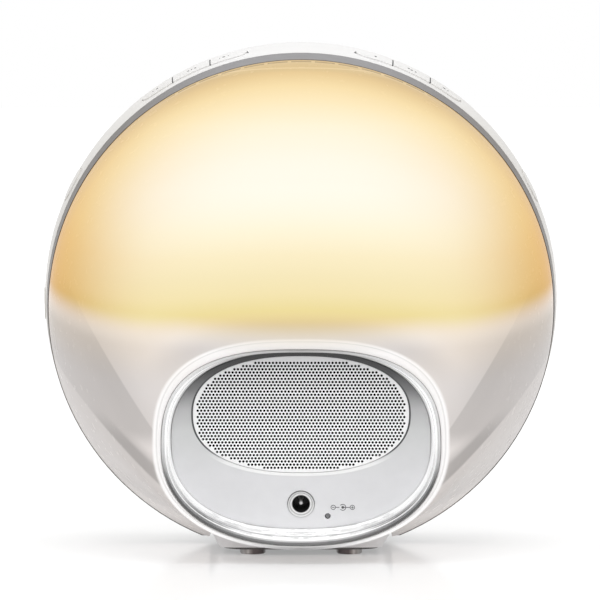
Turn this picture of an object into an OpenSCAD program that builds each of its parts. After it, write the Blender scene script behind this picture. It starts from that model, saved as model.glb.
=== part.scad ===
// Sunrise alarm clock: a round lamp head that leans back on a small base.
// The head's own frame has X to the side, Y along the rim's axis towards the back and Z up the rim's plane.
// Its origin is the centre of the rim's crest. Angles round the rim start at the top and grow towards -X.

/* [Head] */
// Radius of the rim at its crest
rim_r = 94; // [90:0.5:100]
// Lean of the head to the back, in degrees
lean = 8; // [6:0.5:10]
// How far the rim's crest circle would reach below the table
rim_sink = 3.2; // [2:0.1:4.5]
// Running gap between pieces that meet edge to edge
gap = 0.2; // [0.1:0.05:0.3]

/* [Rim band] */
// Depth of the band in front of its crest
band_front = 14; // [13:0.5:17]
// Depth of the band behind its crest
band_rear = 14; // [13:0.25:15]
// Fall of the band's crown from its crest to its front edge
band_crown = 2; // [1.5:0.1:2.2]
// Fall of the band's crown from its crest to its rear edge
band_fall = 1.1; // [0.8:0.1:1.4]
// Wall of the band
band_wall = 2.4; // [2:0.1:2.8]
// Depth of the grey ring behind the band
seam_depth = 9.6; // [8:0.1:11]
// Fall of the grey ring's radius over its depth
seam_fall = 0.9; // [0.6:0.1:1.2]
// Step between the grey ring and the shell
seam_step = 0.3; // [0.2:0.1:0.6]

/* [Rear shell] */
// Depth of the shell from the grey ring to its lip
shell_depth = 70.4; // [66:0.2:74]
// Wall of the shell
shell_wall = 2.2; // [1.6:0.1:2.4]
// How square the sides of the shell are, from the rim to the lip
shell_side_power = 1.6; // [1.4:0.1:2]
// Depth over which the lip rolls in
lip_roll = 1.8; // [1.2:0.1:2]
// Width of the lip at its sides
lip_side = 2.8; // [2:0.1:3.2]
// Width of the lip at its top
lip_top = 4; // [2.5:0.1:4.5]
// Width of the lip at its bottom
lip_low = 1; // [0.8:0.1:1.4]

/* [Pod] */
// Width of the oval opening
pod_w = 98.8; // [94:0.2:102]
// Height of the oval opening
pod_h = 71; // [68:0.2:72]
// Rise of the opening above the lowest point of the rim's crest
pod_rise = 22.8; // [22.2:0.1:24]
// Squareness of the opening's upper half
pod_square_top = 2.7; // [2.3:0.05:2.9]
// Squareness of the opening's lower half
pod_square_low = 2.25; // [2.1:0.05:2.5]
// Squareness of the rear panel
panel_square = 2.35; // [2.2:0.05:2.5]
// Depth of the rear panel below the lip
pod_depth = 14; // [11:0.5:16]
// Wall of the clear ring where it meets the panel
ring_wall = 3.2; // [2.6:0.1:3.6]
// Wall of the clear ring at its rim
ring_edge = 0.8; // [0.6:0.1:1.4]
// How far the clear ring's rim lies below the lip
ring_drop = 0.9; // [0.6:0.1:1.2]
// Height of the two fine steps in the clear ring's flank
ring_step = 0.4; // [0.2:0.1:0.6]
// Thickness of the rear panel
panel_t = 2.4; // [2:0.1:3]

/* [Speaker] */
// Width of the grille
grille_w = 76.6; // [74:0.2:79]
// Height of the grille
grille_h = 42.2; // [41:0.2:43]
// Squareness of the grille's oval
grille_square = 2.3; // [2.1:0.05:2.4]
// Distance from the rear panel's top edge to the grille
grille_edge = 1.7; // [1.5:0.1:2.2]
// Thickness of the grille
grille_t = 0.8; // [0.6:0.1:1]
// Diameter of a grille hole
hole_d = 1.15; // [0.9:0.05:1.3]
// Distance between grille holes along a row
hole_pitch = 2; // [1.9:0.05:2.5]
// Distance between rows of grille holes
row_pitch = 1.75; // [1.7:0.05:2.2]
// Depth of the pocket that the grille lies in
grille_pocket = 1.1; // [1:0.1:1.3]
// Outer radius of the speaker's flange
speaker_r = 20.5; // [20:0.1:21.5]
// Travel of the cone to either side
cone_travel = 0.4; // [0.2:0.1:0.4]

/* [Power socket] */
// Distance from the rear panel's bottom edge to the socket's centre
jack_edge = 8.8; // [8.4:0.1:9.2]
// Radius of the socket's bore
jack_r = 3.13; // [3:0.01:3.3]
// Radius of the socket's centre pin
pin_r = 0.65; // [0.5:0.05:0.9]
// Depth of the socket's bore
jack_depth = 9.7; // [9:0.1:10.2]
// Distance of the reset button to the side of the socket
reset_x = 9.5; // [9:0.1:10.5]
// Distance from the rear panel's bottom edge to the reset button's centre
reset_edge = 4.4; // [4.2:0.1:4.7]
// Radius of the reset button
reset_r = 0.85; // [0.7:0.05:1]

/* [Buttons] */
// Width of the buttons along the rim's axis
button_w = 9; // [8.2:0.1:9.6]
// Distance of the buttons' middle behind the crest
button_behind = 5.2; // [4.4:0.1:6]
// How far the buttons stand above the band
button_proud = 0.3; // [0.2:0.05:0.5]
// Gap round a button in its slot
button_gap = 0.3; // [0.25:0.05:0.4]
// Gap between neighbouring buttons
button_split = 0.5; // [0.4:0.05:0.7]
// Travel of the rim buttons
button_travel = 0.5; // [0.3:0.1:0.6]

/* [Display] */
// Radius of the display window
window_r = 48.4; // [46:0.2:50]
// Drop of the window's centre below the rim's axis
window_drop = 14; // [12:0.5:15]
// Width of the ring round the window
window_ring = 2; // [1.6:0.1:2.4]
// Bulge of the front diffuser
front_bulge = 6; // [4:0.5:7]
// Thickness of the front diffuser
front_t = 2.2; // [1.8:0.1:2.5]
// Height of a digit
digit_h = 17; // [14:0.5:19]

/* [Base] */
// Half-width of the base pan at its floor
pan_half_w = 29; // [27:0.25:30]
// Half-width of the base pan where it meets the shell
pan_top_half_w = 33; // [32:0.25:34]
// Length of the base pan, front to back
pan_l = 73; // [70:0.5:74]
// Wall of the base pan
pan_wall = 2; // [1.5:0.1:2.5]
// Height of the base pan
pan_h = 10.2; // [9:0.2:11]
// Thickness of the base plate
plate_t = 0.8; // [0.6:0.1:1.2]
// Radius of a foot
foot_r = 4.6; // [4:0.1:5]
// Height of a foot
foot_h = 1.9; // [1.6:0.1:2.4]
// Sideways distance between the feet's centres
foot_span_x = 34.8; // [32:0.2:36]
// Distance from the pan's back edge to a rear foot
foot_back_edge = 2; // [1.5:0.1:3]
// Distance from the pan's front edge to a front foot
foot_front_edge = 5.8; // [5:0.1:7]
// Distance between a foot's centre and its screw, front to back
screw_from_foot = 9.6; // [8.5:0.1:12]

/* [Hidden] */

$fn = 96;
eps = 0.01;
lean_sin = sin(lean);
lean_cos = cos(lean);
centre_z = rim_r * lean_cos - rim_sink;

// Where the base cuts the head
plate_top = foot_h + plate_t;
body_floor = plate_top + gap;

// Places along the rim's axis
band_end = band_rear;
shell_start = band_end + seam_depth;
lip_s = shell_start + shell_depth;
panel_s = lip_s - pod_depth;
panel_in = panel_s - panel_t;
band_end_r = rim_r - band_fall;
shell_r = band_end_r - seam_fall - seam_step;

// Places in the rim's plane
pod_a = pod_w / 2;
pod_b = pod_h / 2;
pod_drop = rim_r - pod_rise - pod_b;
panel_a = pod_a - ring_wall - gap;
panel_b = pod_b - ring_wall - gap;
grille_a = grille_w / 2;
grille_b = grille_h / 2;
grille_drop = pod_drop - panel_b + grille_edge + grille_b;
jack_drop = pod_drop + panel_b - jack_edge;
reset_drop = pod_drop + panel_b - reset_edge;

// The whole object's middle, front to back, is the origin
front_y = axis_y_at(-band_front, body_floor);
top_end = pod_b + lip_top - pod_drop;
back_y = shell_start * lean_cos + top_end * lean_sin
    + norm([shell_depth * lean_cos, (shell_r - top_end) * lean_sin]);
mid_y = (front_y + back_y) / 2;

// Distance along Y, before the origin is set, of the point at depth s in the head and height z
function axis_y_at(s, z) = s * lean_cos + (z - centre_z + s * lean_sin) * lean_sin / lean_cos;
// Height in the head's frame of the plane z at depth s
function plane_v(s, z) = (z - centre_z + s * lean_sin) / lean_cos;

module head() {
    translate([0, -mid_y, centre_z]) rotate([-lean, 0, 0]) children();
}

// Turns children, drawn as radius and depth, round the head's axis
module turn() {
    rotate([-90, 0, 0]) rotate_extrude() children();
}

// The same between two angles round the rim
module turn_part(from, to) {
    rotate([-90, 0, 0]) rotate([0, 0, 270 - to]) rotate_extrude(angle = to - from) children();
}

// Puts children, drawn up Z, on the radius at an angle, at depth s
module on_radius(angle, s) {
    rotate([0, -angle, 0]) translate([0, s, 0]) children();
}

// A cylinder along the head's axis from depth s1 to s2
module rod(x, v, r, s1, s2) {
    translate([x, s2, v]) rotate([90, 0, 0]) cylinder(r = r, h = s2 - s1);
}

// A block between two depths, centred on x and v
module block(x, v, w, h, s1, s2) {
    translate([x - w / 2, s1, v - h / 2]) cube([w, s2 - s1, h]);
}

// An oval whose upper and lower halves have their own squareness
function superellipse(a, b, n_top, n_low, count = 96) = [
    for (i = [0 : count - 1])
        let (t = 360 * (i + 0.5) / count, n = t < 180 ? n_top : n_low)
        [a * sign(cos(t)) * pow(abs(cos(t)), 2 / n), b * sign(sin(t)) * pow(abs(sin(t)), 2 / n)]
];

// An oval plate, drawn as width and height, from depth s1 to s2
module oval(v, a, b, n, s1, s2) {
    translate([0, s2, v]) rotate([90, 0, 0]) linear_extrude(s2 - s1) polygon(superellipse(a, b, n, n));
}

module round_rect(w, l, r) {
    square([w - 2 * r, l], center = true);
    square([w, l - 2 * r], center = true);
    for (x = [-1, 1], y = [-1, 1]) translate([x * (w / 2 - r), y * (l / 2 - r)]) circle(r);
}

// A closed surface through rings of equal count, the last ring joined to the first
module ring_loft(rings) {
    m = len(rings);
    n = len(rings[0]);
    points = [for (ring = rings) each ring];
    faces = [
        for (j = [0 : m - 1], i = [0 : n - 1])
            let (k = (i + 1) % n, a = j * n, b = ((j + 1) % m) * n)
            each [[a + i, b + i, b + k], [a + i, b + k, a + k]]
    ];
    polyhedron(points = points, faces = faces, convexity = 6);
}

// ---- Rim band ----

function band_r(s) =
    rim_r - (s < 0 ? band_crown * pow(s / band_front, 2) : band_fall * pow(s / band_rear, 2));

band_steps = 16;
seat_r = rim_r - 5.8;
ledge_r = seat_r - 2;
diffuser_edge = 2.5;
seat_s = -band_front + diffuser_edge;
ledge_t = 1.8;

function band_s(i) = -band_front + (band_front + band_rear) * i / band_steps;

module band_profile() {
    inner_from = seat_s + ledge_t;
    inner_steps = 10;
    polygon(concat(
        [for (i = [0 : band_steps]) [band_r(band_s(i)), band_s(i)]],
        [for (i = [0 : inner_steps])
            let (s = band_rear + (inner_from - band_rear) * i / inner_steps)
            [band_r(s) - band_wall, s]],
        [[ledge_r, inner_from], [ledge_r, seat_s], [seat_r, seat_s], [seat_r, -band_front]]
    ));
}

// The hole that the base pan stands in
module pan_hole(z1) {
    clear = gap * 1.5;
    pan_outline(pan_top_half_w + clear, pan_front - clear, pan_l + 2 * clear, z1, plate_top + pan_h + 1);
}

// What the base takes out of the head
module base_cut() {
    translate([-rim_r * 2, -rim_r * 2 - mid_y, -rim_r]) cube([rim_r * 4, rim_r * 4, rim_r + body_floor]);
    pan_hole(-rim_r);
}

module rim_band() {
    color("white") difference() {
        head() difference() {
            turn() band_profile();
            for (g = slots) slot(g[0], g[1], 0);
        }
        base_cut();
    }
}

module seam_ring() {
    color("darkgray") difference() {
        head() turn() polygon([
            [band_end_r - seam_step / 3, band_end], [band_end_r - seam_fall, shell_start],
            [seam_in_r, shell_start], [seam_in_r, band_end]
        ]);
        base_cut();
    }
}

seam_in_r = shell_r - shell_wall + 0.3;

// ---- Rear shell ----

// Half-width, top, bottom and squareness above and below, for a share q of the depth from the rim to the lip
function section(q, r, a_end, top_end, bottom_end) = [
    a_end + (r - a_end) * pow(1 - pow(q, shell_side_power), 1 / shell_side_power),
    top_end + (r - top_end) * sqrt(1 - q * q),
    bottom_end - (r + bottom_end) * pow(1 - q, 1.3),
    2 + (pod_square_top - 2) * pow(q, 3),
    2 + (pod_square_low - 2) * pow(q, 3)
];

function outer_section(q) =
    section(q, shell_r, pod_a + lip_side, top_end, -pod_b - lip_low - pod_drop);
function inner_section(q) =
    section(q, shell_r - shell_wall, pod_a, pod_b - pod_drop, -pod_b - pod_drop);

inner_end = lip_s - lip_roll - 1;

around = 72;
// A ring of a section at depth s, kept above the floor
function section_ring(sec, s, floor_v) = [
    for (p = superellipse(sec[0], (sec[1] - sec[2]) / 2, sec[3], sec[4], around))
        [p[0], s, max(p[1] + (sec[1] + sec[2]) / 2, floor_v)]
];
// A ring of the lip at depth s: share 1 is its outer edge and 0 the opening
function lip_ring(share, s) =
    let (top = pod_b + lip_top * share, low = pod_b + lip_low * share)
    [for (p = superellipse(pod_a + lip_side * share, (top + low) / 2, pod_square_top, pod_square_low, around))
        [p[0], s, p[1] + (top - low) / 2 - pod_drop]];
// A ring of the opening, moved in by inset
function pod_oval(inset, s, n_top = pod_square_top, n_low = pod_square_low) = [
    for (p = superellipse(pod_a - inset, pod_b - inset, n_top, n_low, around)) [p[0], s, p[1] - pod_drop]
];

module shell_solid() {
    outer_steps = 18;
    inner_steps = 12;
    roll_steps = 5;
    ring_loft(concat(
        [for (i = [0 : outer_steps - 1])
            let (q = sin(90 * i / outer_steps), s = shell_start + q * shell_depth)
            section_ring(outer_section(q), s, plane_v(s, body_floor))],
        [for (i = [0 : roll_steps])
            let (t = 90 * i / roll_steps)
            lip_ring(1 - sin(t), lip_s - lip_roll * (1 - cos(t)))],
        [for (i = [inner_steps : -1 : 0])
            let (q = sin(90 * i / inner_steps), s = shell_start + q * (inner_end - shell_start))
            section_ring(inner_section(q), s, plane_v(s, body_floor + shell_wall))]
    ));
}

module back_shell() {
    color("moccasin") difference() {
        head() shell_solid();
        pan_hole(-eps);
    }
}

// ---- Pod ----

ring_front = lip_s - ring_drop;
ring_round = 0.25;
ring_flank_s = ring_front - 2 * ring_round;
// A ring of the clear ring's flank: share 0 is at its rim and 1 at the panel
function flank_oval(share, lift) =
    let (edge = gap + ring_edge)
    pod_oval(
        edge + (ring_wall - edge) * share - lift, ring_flank_s + (panel_s - ring_flank_s) * share + lift / 2,
        pod_square_top + (panel_square - pod_square_top) * share,
        pod_square_low + (panel_square - pod_square_low) * share
    );

// The clear ring that lines the opening, down to the rear panel
module pod_ring() {
    color("lightcyan") head() ring_loft(concat(
        [pod_oval(gap, panel_in), pod_oval(gap, ring_flank_s), pod_oval(gap + ring_round, ring_front),
         pod_oval(gap + ring_edge - ring_round, ring_front), flank_oval(0, 0)],
        [for (share = [1 / 3, 2 / 3], side = [1, -1]) flank_oval(share, side * ring_step / 2)],
        [flank_oval(1, 0), pod_oval(ring_wall, panel_in, panel_square, panel_square)]
    ));
}

grille_seat = panel_s - grille_pocket;
collar_r = 4.85;
nose_r = jack_r + 0.85;
panel_post_r = 2;
// The posts of the power board, from the socket
panel_posts = [[-13.9, 2], [7.2, -1]];

module rear_panel() {
    sound_edge = 2.1;
    sound_recess = 0.6;
    color("gainsboro") head() difference() {
        union() {
            oval(-pod_drop, panel_a, panel_b, panel_square, panel_in, panel_s);
            for (p = panel_posts) rod(p[0], p[1] - jack_drop, panel_post_r, jack_back, panel_in + eps);
        }
        oval(-grille_drop, grille_a + gap, grille_b + gap, grille_square, grille_seat, panel_s + 1);
        oval(-grille_drop, grille_a - sound_edge, grille_b - sound_edge, grille_square,
            grille_seat - sound_recess, panel_s);
        rod(0, -grille_drop, grille_b - sound_edge - 0.1, panel_in - 1, panel_s);
        rod(0, -jack_drop, collar_r + gap / 2, panel_in - 1, panel_s + 1);
        rod(-reset_x, -reset_drop, reset_r + gap, panel_in - 1, panel_s + 1);
    }
}

grille_border = 1.2;
// Is a hole at x, y inside the grille's plain border?
function in_grille(x, y) =
    pow(abs(x) / (grille_a - grille_border), grille_square)
        + pow(abs(y) / (grille_b - grille_border), grille_square) < 1;

module speaker_grille() {
    rows = floor(grille_b / row_pitch);
    columns = floor(grille_a / hole_pitch);
    color("white") head() translate([0, grille_seat + 0.1 + grille_t, -grille_drop]) rotate([90, 0, 0])
        linear_extrude(grille_t) difference() {
            polygon(superellipse(grille_a, grille_b, grille_square, grille_square));
            for (j = [-rows : rows], i = [-columns - 1 : columns])
                let (x = (i + (j % 2 == 0 ? 0 : 0.5)) * hole_pitch, y = j * row_pitch)
                if (in_grille(x, y)) translate([x, y]) circle(d = hole_d, $fn = 16);
        }
}

// ---- Speaker, turned about its own axis ----

flange_t = 1.6;
surround_t = 0.5;
flange_s = panel_in - surround_t;
cone_edge_s = flange_s - 0.7;
cone_r = speaker_r - 5.3;
cone_depth = 9;
coil_r = 6;
magnet_s = flange_s - 12.4;
coil_s = magnet_s - 4;
magnet_t = 9;
magnet_r = 13;

module speaker_turn() {
    head() translate([0, 0, -grille_drop]) turn() children();
}

module speaker_basket() {
    basket_in_r = speaker_r - 2.9;
    back_s = magnet_s + 1.2;
    color("dimgray") difference() {
        speaker_turn() polygon([
            [speaker_r, flange_s], [speaker_r, flange_s - flange_t], [magnet_r - 0.5, back_s],
            [magnet_r - 0.5, magnet_s], [coil_r + 1, magnet_s], [coil_r + 1, back_s],
            [magnet_r - 1.5, back_s], [basket_in_r, flange_s - flange_t], [basket_in_r, flange_s]
        ]);
        head() translate([0, 0, -grille_drop]) for (i = [0 : 3]) rotate([0, 45 + 90 * i, 0])
            block(speaker_r, 0, speaker_r * 2 - 6, 9, back_s + 2, flange_s - flange_t - 0.8);
    }
}

module speaker_magnet() {
    pole_r = coil_r - 0.7;
    floor_s = coil_s - cone_travel - 2.1;
    color("gray") speaker_turn() polygon([
        [0, magnet_s - magnet_t], [magnet_r, magnet_s - magnet_t], [magnet_r, magnet_s],
        [coil_r + 0.6, magnet_s], [coil_r + 0.6, floor_s], [pole_r, floor_s], [pole_r, magnet_s], [0, magnet_s]
    ]);
}

module speaker_cone() {
    skin = 0.4;
    neck_s = cone_edge_s - cone_depth;
    cap_steps = 6;
    color("darkslategray") speaker_turn() polygon(concat(
        [[coil_r, coil_s], [coil_r, neck_s], [cone_r, cone_edge_s - skin], [cone_r, cone_edge_s],
         [cone_r - 1, cone_edge_s], [coil_r, neck_s + 1]],
        [for (i = [0 : cap_steps]) let (t = 90 * i / cap_steps) [coil_r * cos(t), neck_s + 1 + 2 * sin(t)]],
        [for (i = [cap_steps : -1 : 1]) let (t = 90 * i / cap_steps)
            [(coil_r - skin) * cos(t), neck_s + 1 - skin + 2 * sin(t)]],
        [[coil_r - skin, coil_s]]
    ));
}

module speaker_surround() {
    roll_r = 1.3;
    mid_r = speaker_r - 4.1;
    steps = 8;
    skin = 0.4;
    land_s = flange_s;
    color("black") speaker_turn() polygon(concat(
        [[speaker_r - 0.2, land_s], [speaker_r - 0.2, land_s + skin]],
        [for (i = [0 : steps]) let (t = 180 * i / steps)
            [mid_r + (roll_r + skin / 2) * cos(t), land_s + skin / 2 + (roll_r + skin / 2) * sin(t)]],
        [[cone_r - 1, land_s + skin / 2], [cone_r - 1, land_s - skin / 2]],
        [for (i = [steps : -1 : 0]) let (t = 180 * i / steps)
            [mid_r + (roll_r - skin / 2) * cos(t),
             land_s - (i == 0 ? 0 : skin / 2) + (roll_r - skin / 2) * sin(t)]]
    ));
}

// ---- Power socket ----

board_t = 1.6;
jack_front = panel_s - 0.3;
jack_floor = jack_front - jack_depth;
jack_wall = 3.8;
jack_back = jack_floor - jack_wall;
power_board_s = jack_back - board_t;
// The centre pin stands on a thicker root, pressed into the floor of the bore
pin_root_r = pin_r + 0.25;
pin_root_l = 2;
jack_body_w = 9;
jack_body_h = 11;

module jack_housing() {
    body_end = panel_in;
    color("black") head() difference() {
        union() {
            block(0, -jack_drop, jack_body_w, jack_body_h, jack_back, body_end);
            rod(0, -jack_drop, nose_r, body_end - 1, jack_front);
        }
        rod(0, -jack_drop, jack_r, jack_floor, jack_front + 1);
        rod(0, -jack_drop, pin_root_r + 0.01, jack_floor - pin_root_l, jack_front);
    }
}

module jack_pin() {
    tip = pin_r * 0.5;
    end = jack_front - 1.1;
    color("silver") head() translate([0, 0, -jack_drop]) turn() polygon([
        [0, jack_floor - pin_root_l], [pin_root_r, jack_floor - pin_root_l], [pin_root_r, jack_floor + 0.1],
        [pin_r, jack_floor + 0.4], [pin_r, end - tip], [pin_r - tip, end], [0, end]
    ]);
}

module jack_collar() {
    color("whitesmoke") head() translate([0, 0, -jack_drop]) turn() polygon([
        [nose_r + gap / 2, panel_in], [collar_r, panel_in], [collar_r, panel_s + 0.1],
        [collar_r - 0.3, panel_s + 0.25], [nose_r + gap / 2, panel_s - 0.2]
    ]);
}

reset_travel = 0.5;
reset_switch_s = jack_back + 3.6;

module reset_button() {
    flange_s = panel_in - 0.4;
    color("gray") head() translate([-reset_x, 0, -reset_drop]) turn() polygon([
        [0, reset_switch_s - 0.2], [reset_r, reset_switch_s - 0.2], [reset_r, flange_s - 1],
        [reset_r + 0.8, flange_s - 1], [reset_r + 0.8, flange_s], [reset_r, flange_s],
        [reset_r, panel_s - 0.5], [reset_r - 0.2, panel_s - 0.3], [0, panel_s - 0.3]
    ]);
}

module reset_switch() {
    side = 4.4;
    color("dimgray") head() difference() {
        block(-reset_x, -reset_drop, side, side, jack_back, reset_switch_s);
        rod(-reset_x, -reset_drop, reset_r + gap, reset_switch_s - 0.4 - reset_travel - gap, reset_switch_s + 1);
    }
}

module power_board() {
    board_w = 26;
    board_h = 15;
    board_x = -3.5;
    board_down = 1;
    color("seagreen") head() block(board_x, -jack_drop - board_down, board_w, board_h, power_board_s, jack_back);
}

// ---- Front ----

seat_in_r = seat_r - gap;

function front_s(r) = -band_front - front_bulge * (1 - pow(r / seat_in_r, 2));

// The front's bulge, moved out by lift and with the given thickness
module front_cap(r_max, lift, t) {
    steps = 20;
    polygon(concat(
        [for (i = [0 : steps]) let (r = r_max * i / steps) [r, front_s(r) - lift]],
        [for (i = [steps : -1 : 0]) let (r = r_max * i / steps) [r, front_s(r) - lift + t]]
    ));
}

module window_rod(r) {
    rod(0, -window_drop, r, -band_front - front_bulge - 5, band_rear);
}

module front_diffuser() {
    edge_r = ledge_r - 0.4;
    color("ivory") head() difference() {
        turn() {
            front_cap(edge_r, 0, front_t);
            polygon([
                [edge_r - 1, front_s(edge_r - 1)], [edge_r, front_s(edge_r)], [seat_in_r, -band_front],
                [seat_in_r, seat_s], [edge_r - 1, seat_s]
            ]);
        }
        window_rod(window_r + window_ring + 2 * gap);
    }
}

module display_window() {
    color("gainsboro") head() intersection() {
        turn() front_cap(window_r + window_drop + 2, -0.2, 2);
        window_rod(window_r);
    }
}

module display_ring() {
    color("silver") head() intersection() {
        turn() front_cap(window_r + window_drop + window_ring + 3, 0.3, front_t + 0.3);
        difference() {
            window_rod(window_r + window_ring + gap);
            window_rod(window_r + gap);
        }
    }
}

frame_s = band_end + 1;
frame_t = 2.4;
shroud_r = window_r + window_ring - 0.6;
shroud_wall = 1.8;
shroud_s = front_s(shroud_r + window_drop) + front_t + 0.2;

module display_shroud() {
    color("white") head() difference() {
        rod(0, -window_drop, shroud_r, shroud_s, frame_s);
        rod(0, -window_drop, shroud_r - shroud_wall, shroud_s - 1, frame_s + 1);
    }
}

module_w = 66;
module_h = 26;
module_t = 7.4;
module_front = -band_front - 1.2;
display_board_s = module_front + module_t;

module display_module() {
    color("dimgray") head() block(0, -window_drop, module_w, module_h, module_front, display_board_s);
}

// Seven bars of a digit, as [x, z, upright]
function bars(w, h) = [
    [0, h / 2, false], [0, 0, false], [0, -h / 2, false],
    [-w / 2, h / 4, true], [-w / 2, -h / 4, true], [w / 2, h / 4, true], [w / 2, -h / 4, true]
];
bar_t = digit_h / 9;
bar_face = 0.4;
digit_w = digit_h * 0.5;
digit_step = digit_w * 1.6;

// A bar with pointed ends, lying in width and height
module bar(length) {
    l = length / 2;
    t = bar_t / 2;
    polygon([[-l, 0], [-l + t, t], [l - t, t], [l, 0], [l - t, -t], [-l + t, -t]]);
}

module digit_bars() {
    bar_gap = 0.25;
    long = digit_w - bar_gap;
    color("orange") head() translate([0, module_front, -window_drop]) rotate([90, 0, 0]) linear_extrude(bar_face) {
        for (d = [-1.65, -0.65, 0.65, 1.65]) translate([d * digit_step, 0])
            for (b = bars(digit_w, digit_h - bar_t)) translate([b[0], b[1]])
                rotate([0, 0, b[2] ? 90 : 0]) bar(b[2] ? (digit_h - bar_t) / 2 - bar_gap : long);
        for (z = [-1, 1]) translate([0, z * digit_h / 5]) circle(r = bar_t / 2, $fn = 24);
    }
}

display_board_w = 2 * (window_r - 9.4);
display_board_h = 2 * (window_r - 25.4);
post_r = 2.5;

module display_board() {
    color("seagreen") head()
        block(0, -window_drop, display_board_w, display_board_h, display_board_s, display_board_s + board_t);
}

// ---- Inner frame, deck and light ----

frame_r = seam_in_r - 0.3;
// The deck lies a little above the pod's opening
deck_above_pod = 4.2;
deck_v = pod_b - pod_drop + deck_above_pod;
deck_t = 1.6;
frame_end = frame_s + frame_t;

module inner_frame() {
    window_to = board_ring_r - 5.5;
    window_from = window_to - 13;
    window_angle = 76;
    post_edge = 5;
    post_x = display_board_w / 2 - post_edge;
    post_z = display_board_h / 2 - post_edge;
    hole_r = norm([post_x, post_z]) - post_r - 0.2;
    color("whitesmoke") difference() {
        head() {
            difference() {
                rod(0, 0, frame_r, frame_s, frame_end);
                turn_part(-window_angle, window_angle)
                    translate([window_from, frame_s - 1]) square([window_to - window_from, frame_t + 2]);
                rod(0, -window_drop, hole_r, frame_s - 1, frame_end + 1);
            }
            for (a = board_posts) on_radius(a, 0) translate([0, frame_s + eps, board_ring_r]) rotate([90, 0, 0])
                cylinder(r = post_r, h = frame_s - button_board_s - board_t + eps);
            for (x = [-1, 1], z = [-1, 1])
                rod(x * post_x, z * post_z - window_drop, post_r, display_board_s + board_t, frame_s + eps);
        }
        translate([-rim_r, -rim_r * 2, -rim_r]) cube([rim_r * 2, rim_r * 4, rim_r + plate_top + pan_h + 1]);
    }
}

deck_from = frame_end;
deck_edge_gap = 0.5;
inner_top_end = pod_b - pod_drop;
inner_r = shell_r - shell_wall;
deck_to = shell_start + (inner_end - shell_start)
    * sqrt(1 - pow((deck_v + deck_t + deck_edge_gap - inner_top_end) / (inner_r - inner_top_end), 2)) - 0.5;

// Half-width of the shell's inside at depth s and height v
function inside_half_w(s, v) =
    let (q = (s - shell_start) / (inner_end - shell_start), sec = inner_section(max(q, 0)))
    let (b = (sec[1] - sec[2]) / 2, m = (sec[1] + sec[2]) / 2)
    sec[0] * pow(1 - pow(abs(v - m) / b, sec[3]), 1 / sec[3]);

module lamp_deck() {
    steps = 24;
    edge = [for (i = [0 : steps])
        let (s = deck_from + (deck_to - deck_from) * sin(90 * i / steps))
        [min(inside_half_w(s, deck_v + deck_t), inside_half_w(s, deck_v)) - deck_edge_gap, s]];
    color("white") head() {
        translate([0, 0, deck_v]) linear_extrude(deck_t)
            polygon(concat(edge, [for (i = [steps : -1 : 0]) [-edge[i][0], edge[i][1]]]));
        for (x = [-1, 1], s = [main_from + main_post_in, main_to - main_post_in])
            translate([x * (main_w / 2 - main_post_in), s, main_v]) cylinder(r = post_r, h = deck_v - main_v + eps);
    }
}

spreader_w = 100;
spreader_from = deck_from + 14;
spreader_l = 36;
spreader_t = 2;
led_v = deck_v + deck_t + spreader_t;

module heat_spreader() {
    color("silver") head() translate([-spreader_w / 2, spreader_from, deck_v + deck_t])
        cube([spreader_w, spreader_l, spreader_t]);
}

module led_board() {
    edge = 2;
    color("white") head() translate([-spreader_w / 2 + edge, spreader_from + edge, led_v])
        cube([spreader_w - 2 * edge, spreader_l - 2 * edge, board_t]);
}

module leds() {
    columns = 10;
    rows = 3;
    side = 3;
    color("gold") head() for (i = [0 : columns - 1], j = [0 : rows - 1])
        translate([
            (i - (columns - 1) / 2) * spreader_w / (columns + 1) - side / 2,
            spreader_from + spreader_l / 2 + (j - (rows - 1) / 2) * spreader_l / (rows + 1) - side / 2,
            led_v + board_t
        ]) cube([side, side, 0.9]);
}

// ---- Main board, hung under the deck ----

main_w = 88;
main_l = 40;
main_from = deck_from + 4;
main_to = main_from + main_l;
main_drop = 12;
main_v = deck_v - main_drop;
main_under = main_v - board_t;
main_post_in = 4;

module main_board() {
    color("seagreen") head() translate([-main_w / 2, main_from, main_under]) cube([main_w, main_l, board_t]);
}

module capacitors() {
    // Across, from the board's front edge, radius and length
    cans = [[-30, 11, 5, 16], [-17, 9, 4, 12], [31, 12, 5, 16]];
    color("navy") head() for (p = cans)
        translate([p[0], main_from + p[1], main_under - p[3]]) cylinder(r = p[2], h = p[3]);
}

module controller_chip() {
    side = 12;
    thick = 1.4;
    color("black") head() translate([-side / 2, main_from + main_l / 2, main_under - thick])
        cube([side, side, thick]);
}

module board_connectors() {
    depth = 5;
    height = 6;
    // Left side, from the board's front edge, and width
    sockets = [[-6, 2, 16], [12, 32, 12], [-34, 32, 10]];
    color("ivory") head() for (p = sockets)
        translate([p[0], main_from + p[1], main_under - height]) cube([p[2], depth, height]);
}

// ---- Rim buttons ----

// Slots round the rim: where each begins and ends, in degrees
slots = [[12.1, 38.3], [-38, -11.9], [59.1, 67.1], [-66.8, -58.7], [-94.6, -87.1]];
button_s = button_behind;
slot_half = button_w / 2 + button_gap;
stem_r = 1.8;
stem_in = 10.3;
plunger_r = 1.5;
plunger_top = rim_r - stem_in - 0.1;
flange_reach = 1;
flange_top = band_r(button_s + slot_half + flange_reach) - band_wall - 0.3;
flange_thick = 1.2;
slot_depth = 11;

// Flat outline with round ends
module stadium(length, half) {
    square([length - 2 * half, 2 * half], center = true);
    for (x = [-1, 1]) translate([x * (length / 2 - half), 0]) circle(half);
}

// A slot with round ends from one angle to the other, made smaller all round by inset
module slot(from, to, inset) {
    length = 2 * rim_r * sin((to - from) / 2);
    on_radius((from + to) / 2, button_s) translate([0, 0, rim_r - slot_depth]) linear_extrude(slot_depth + 3)
        stadium(length - 2 * inset, slot_half - inset);
}

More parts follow.
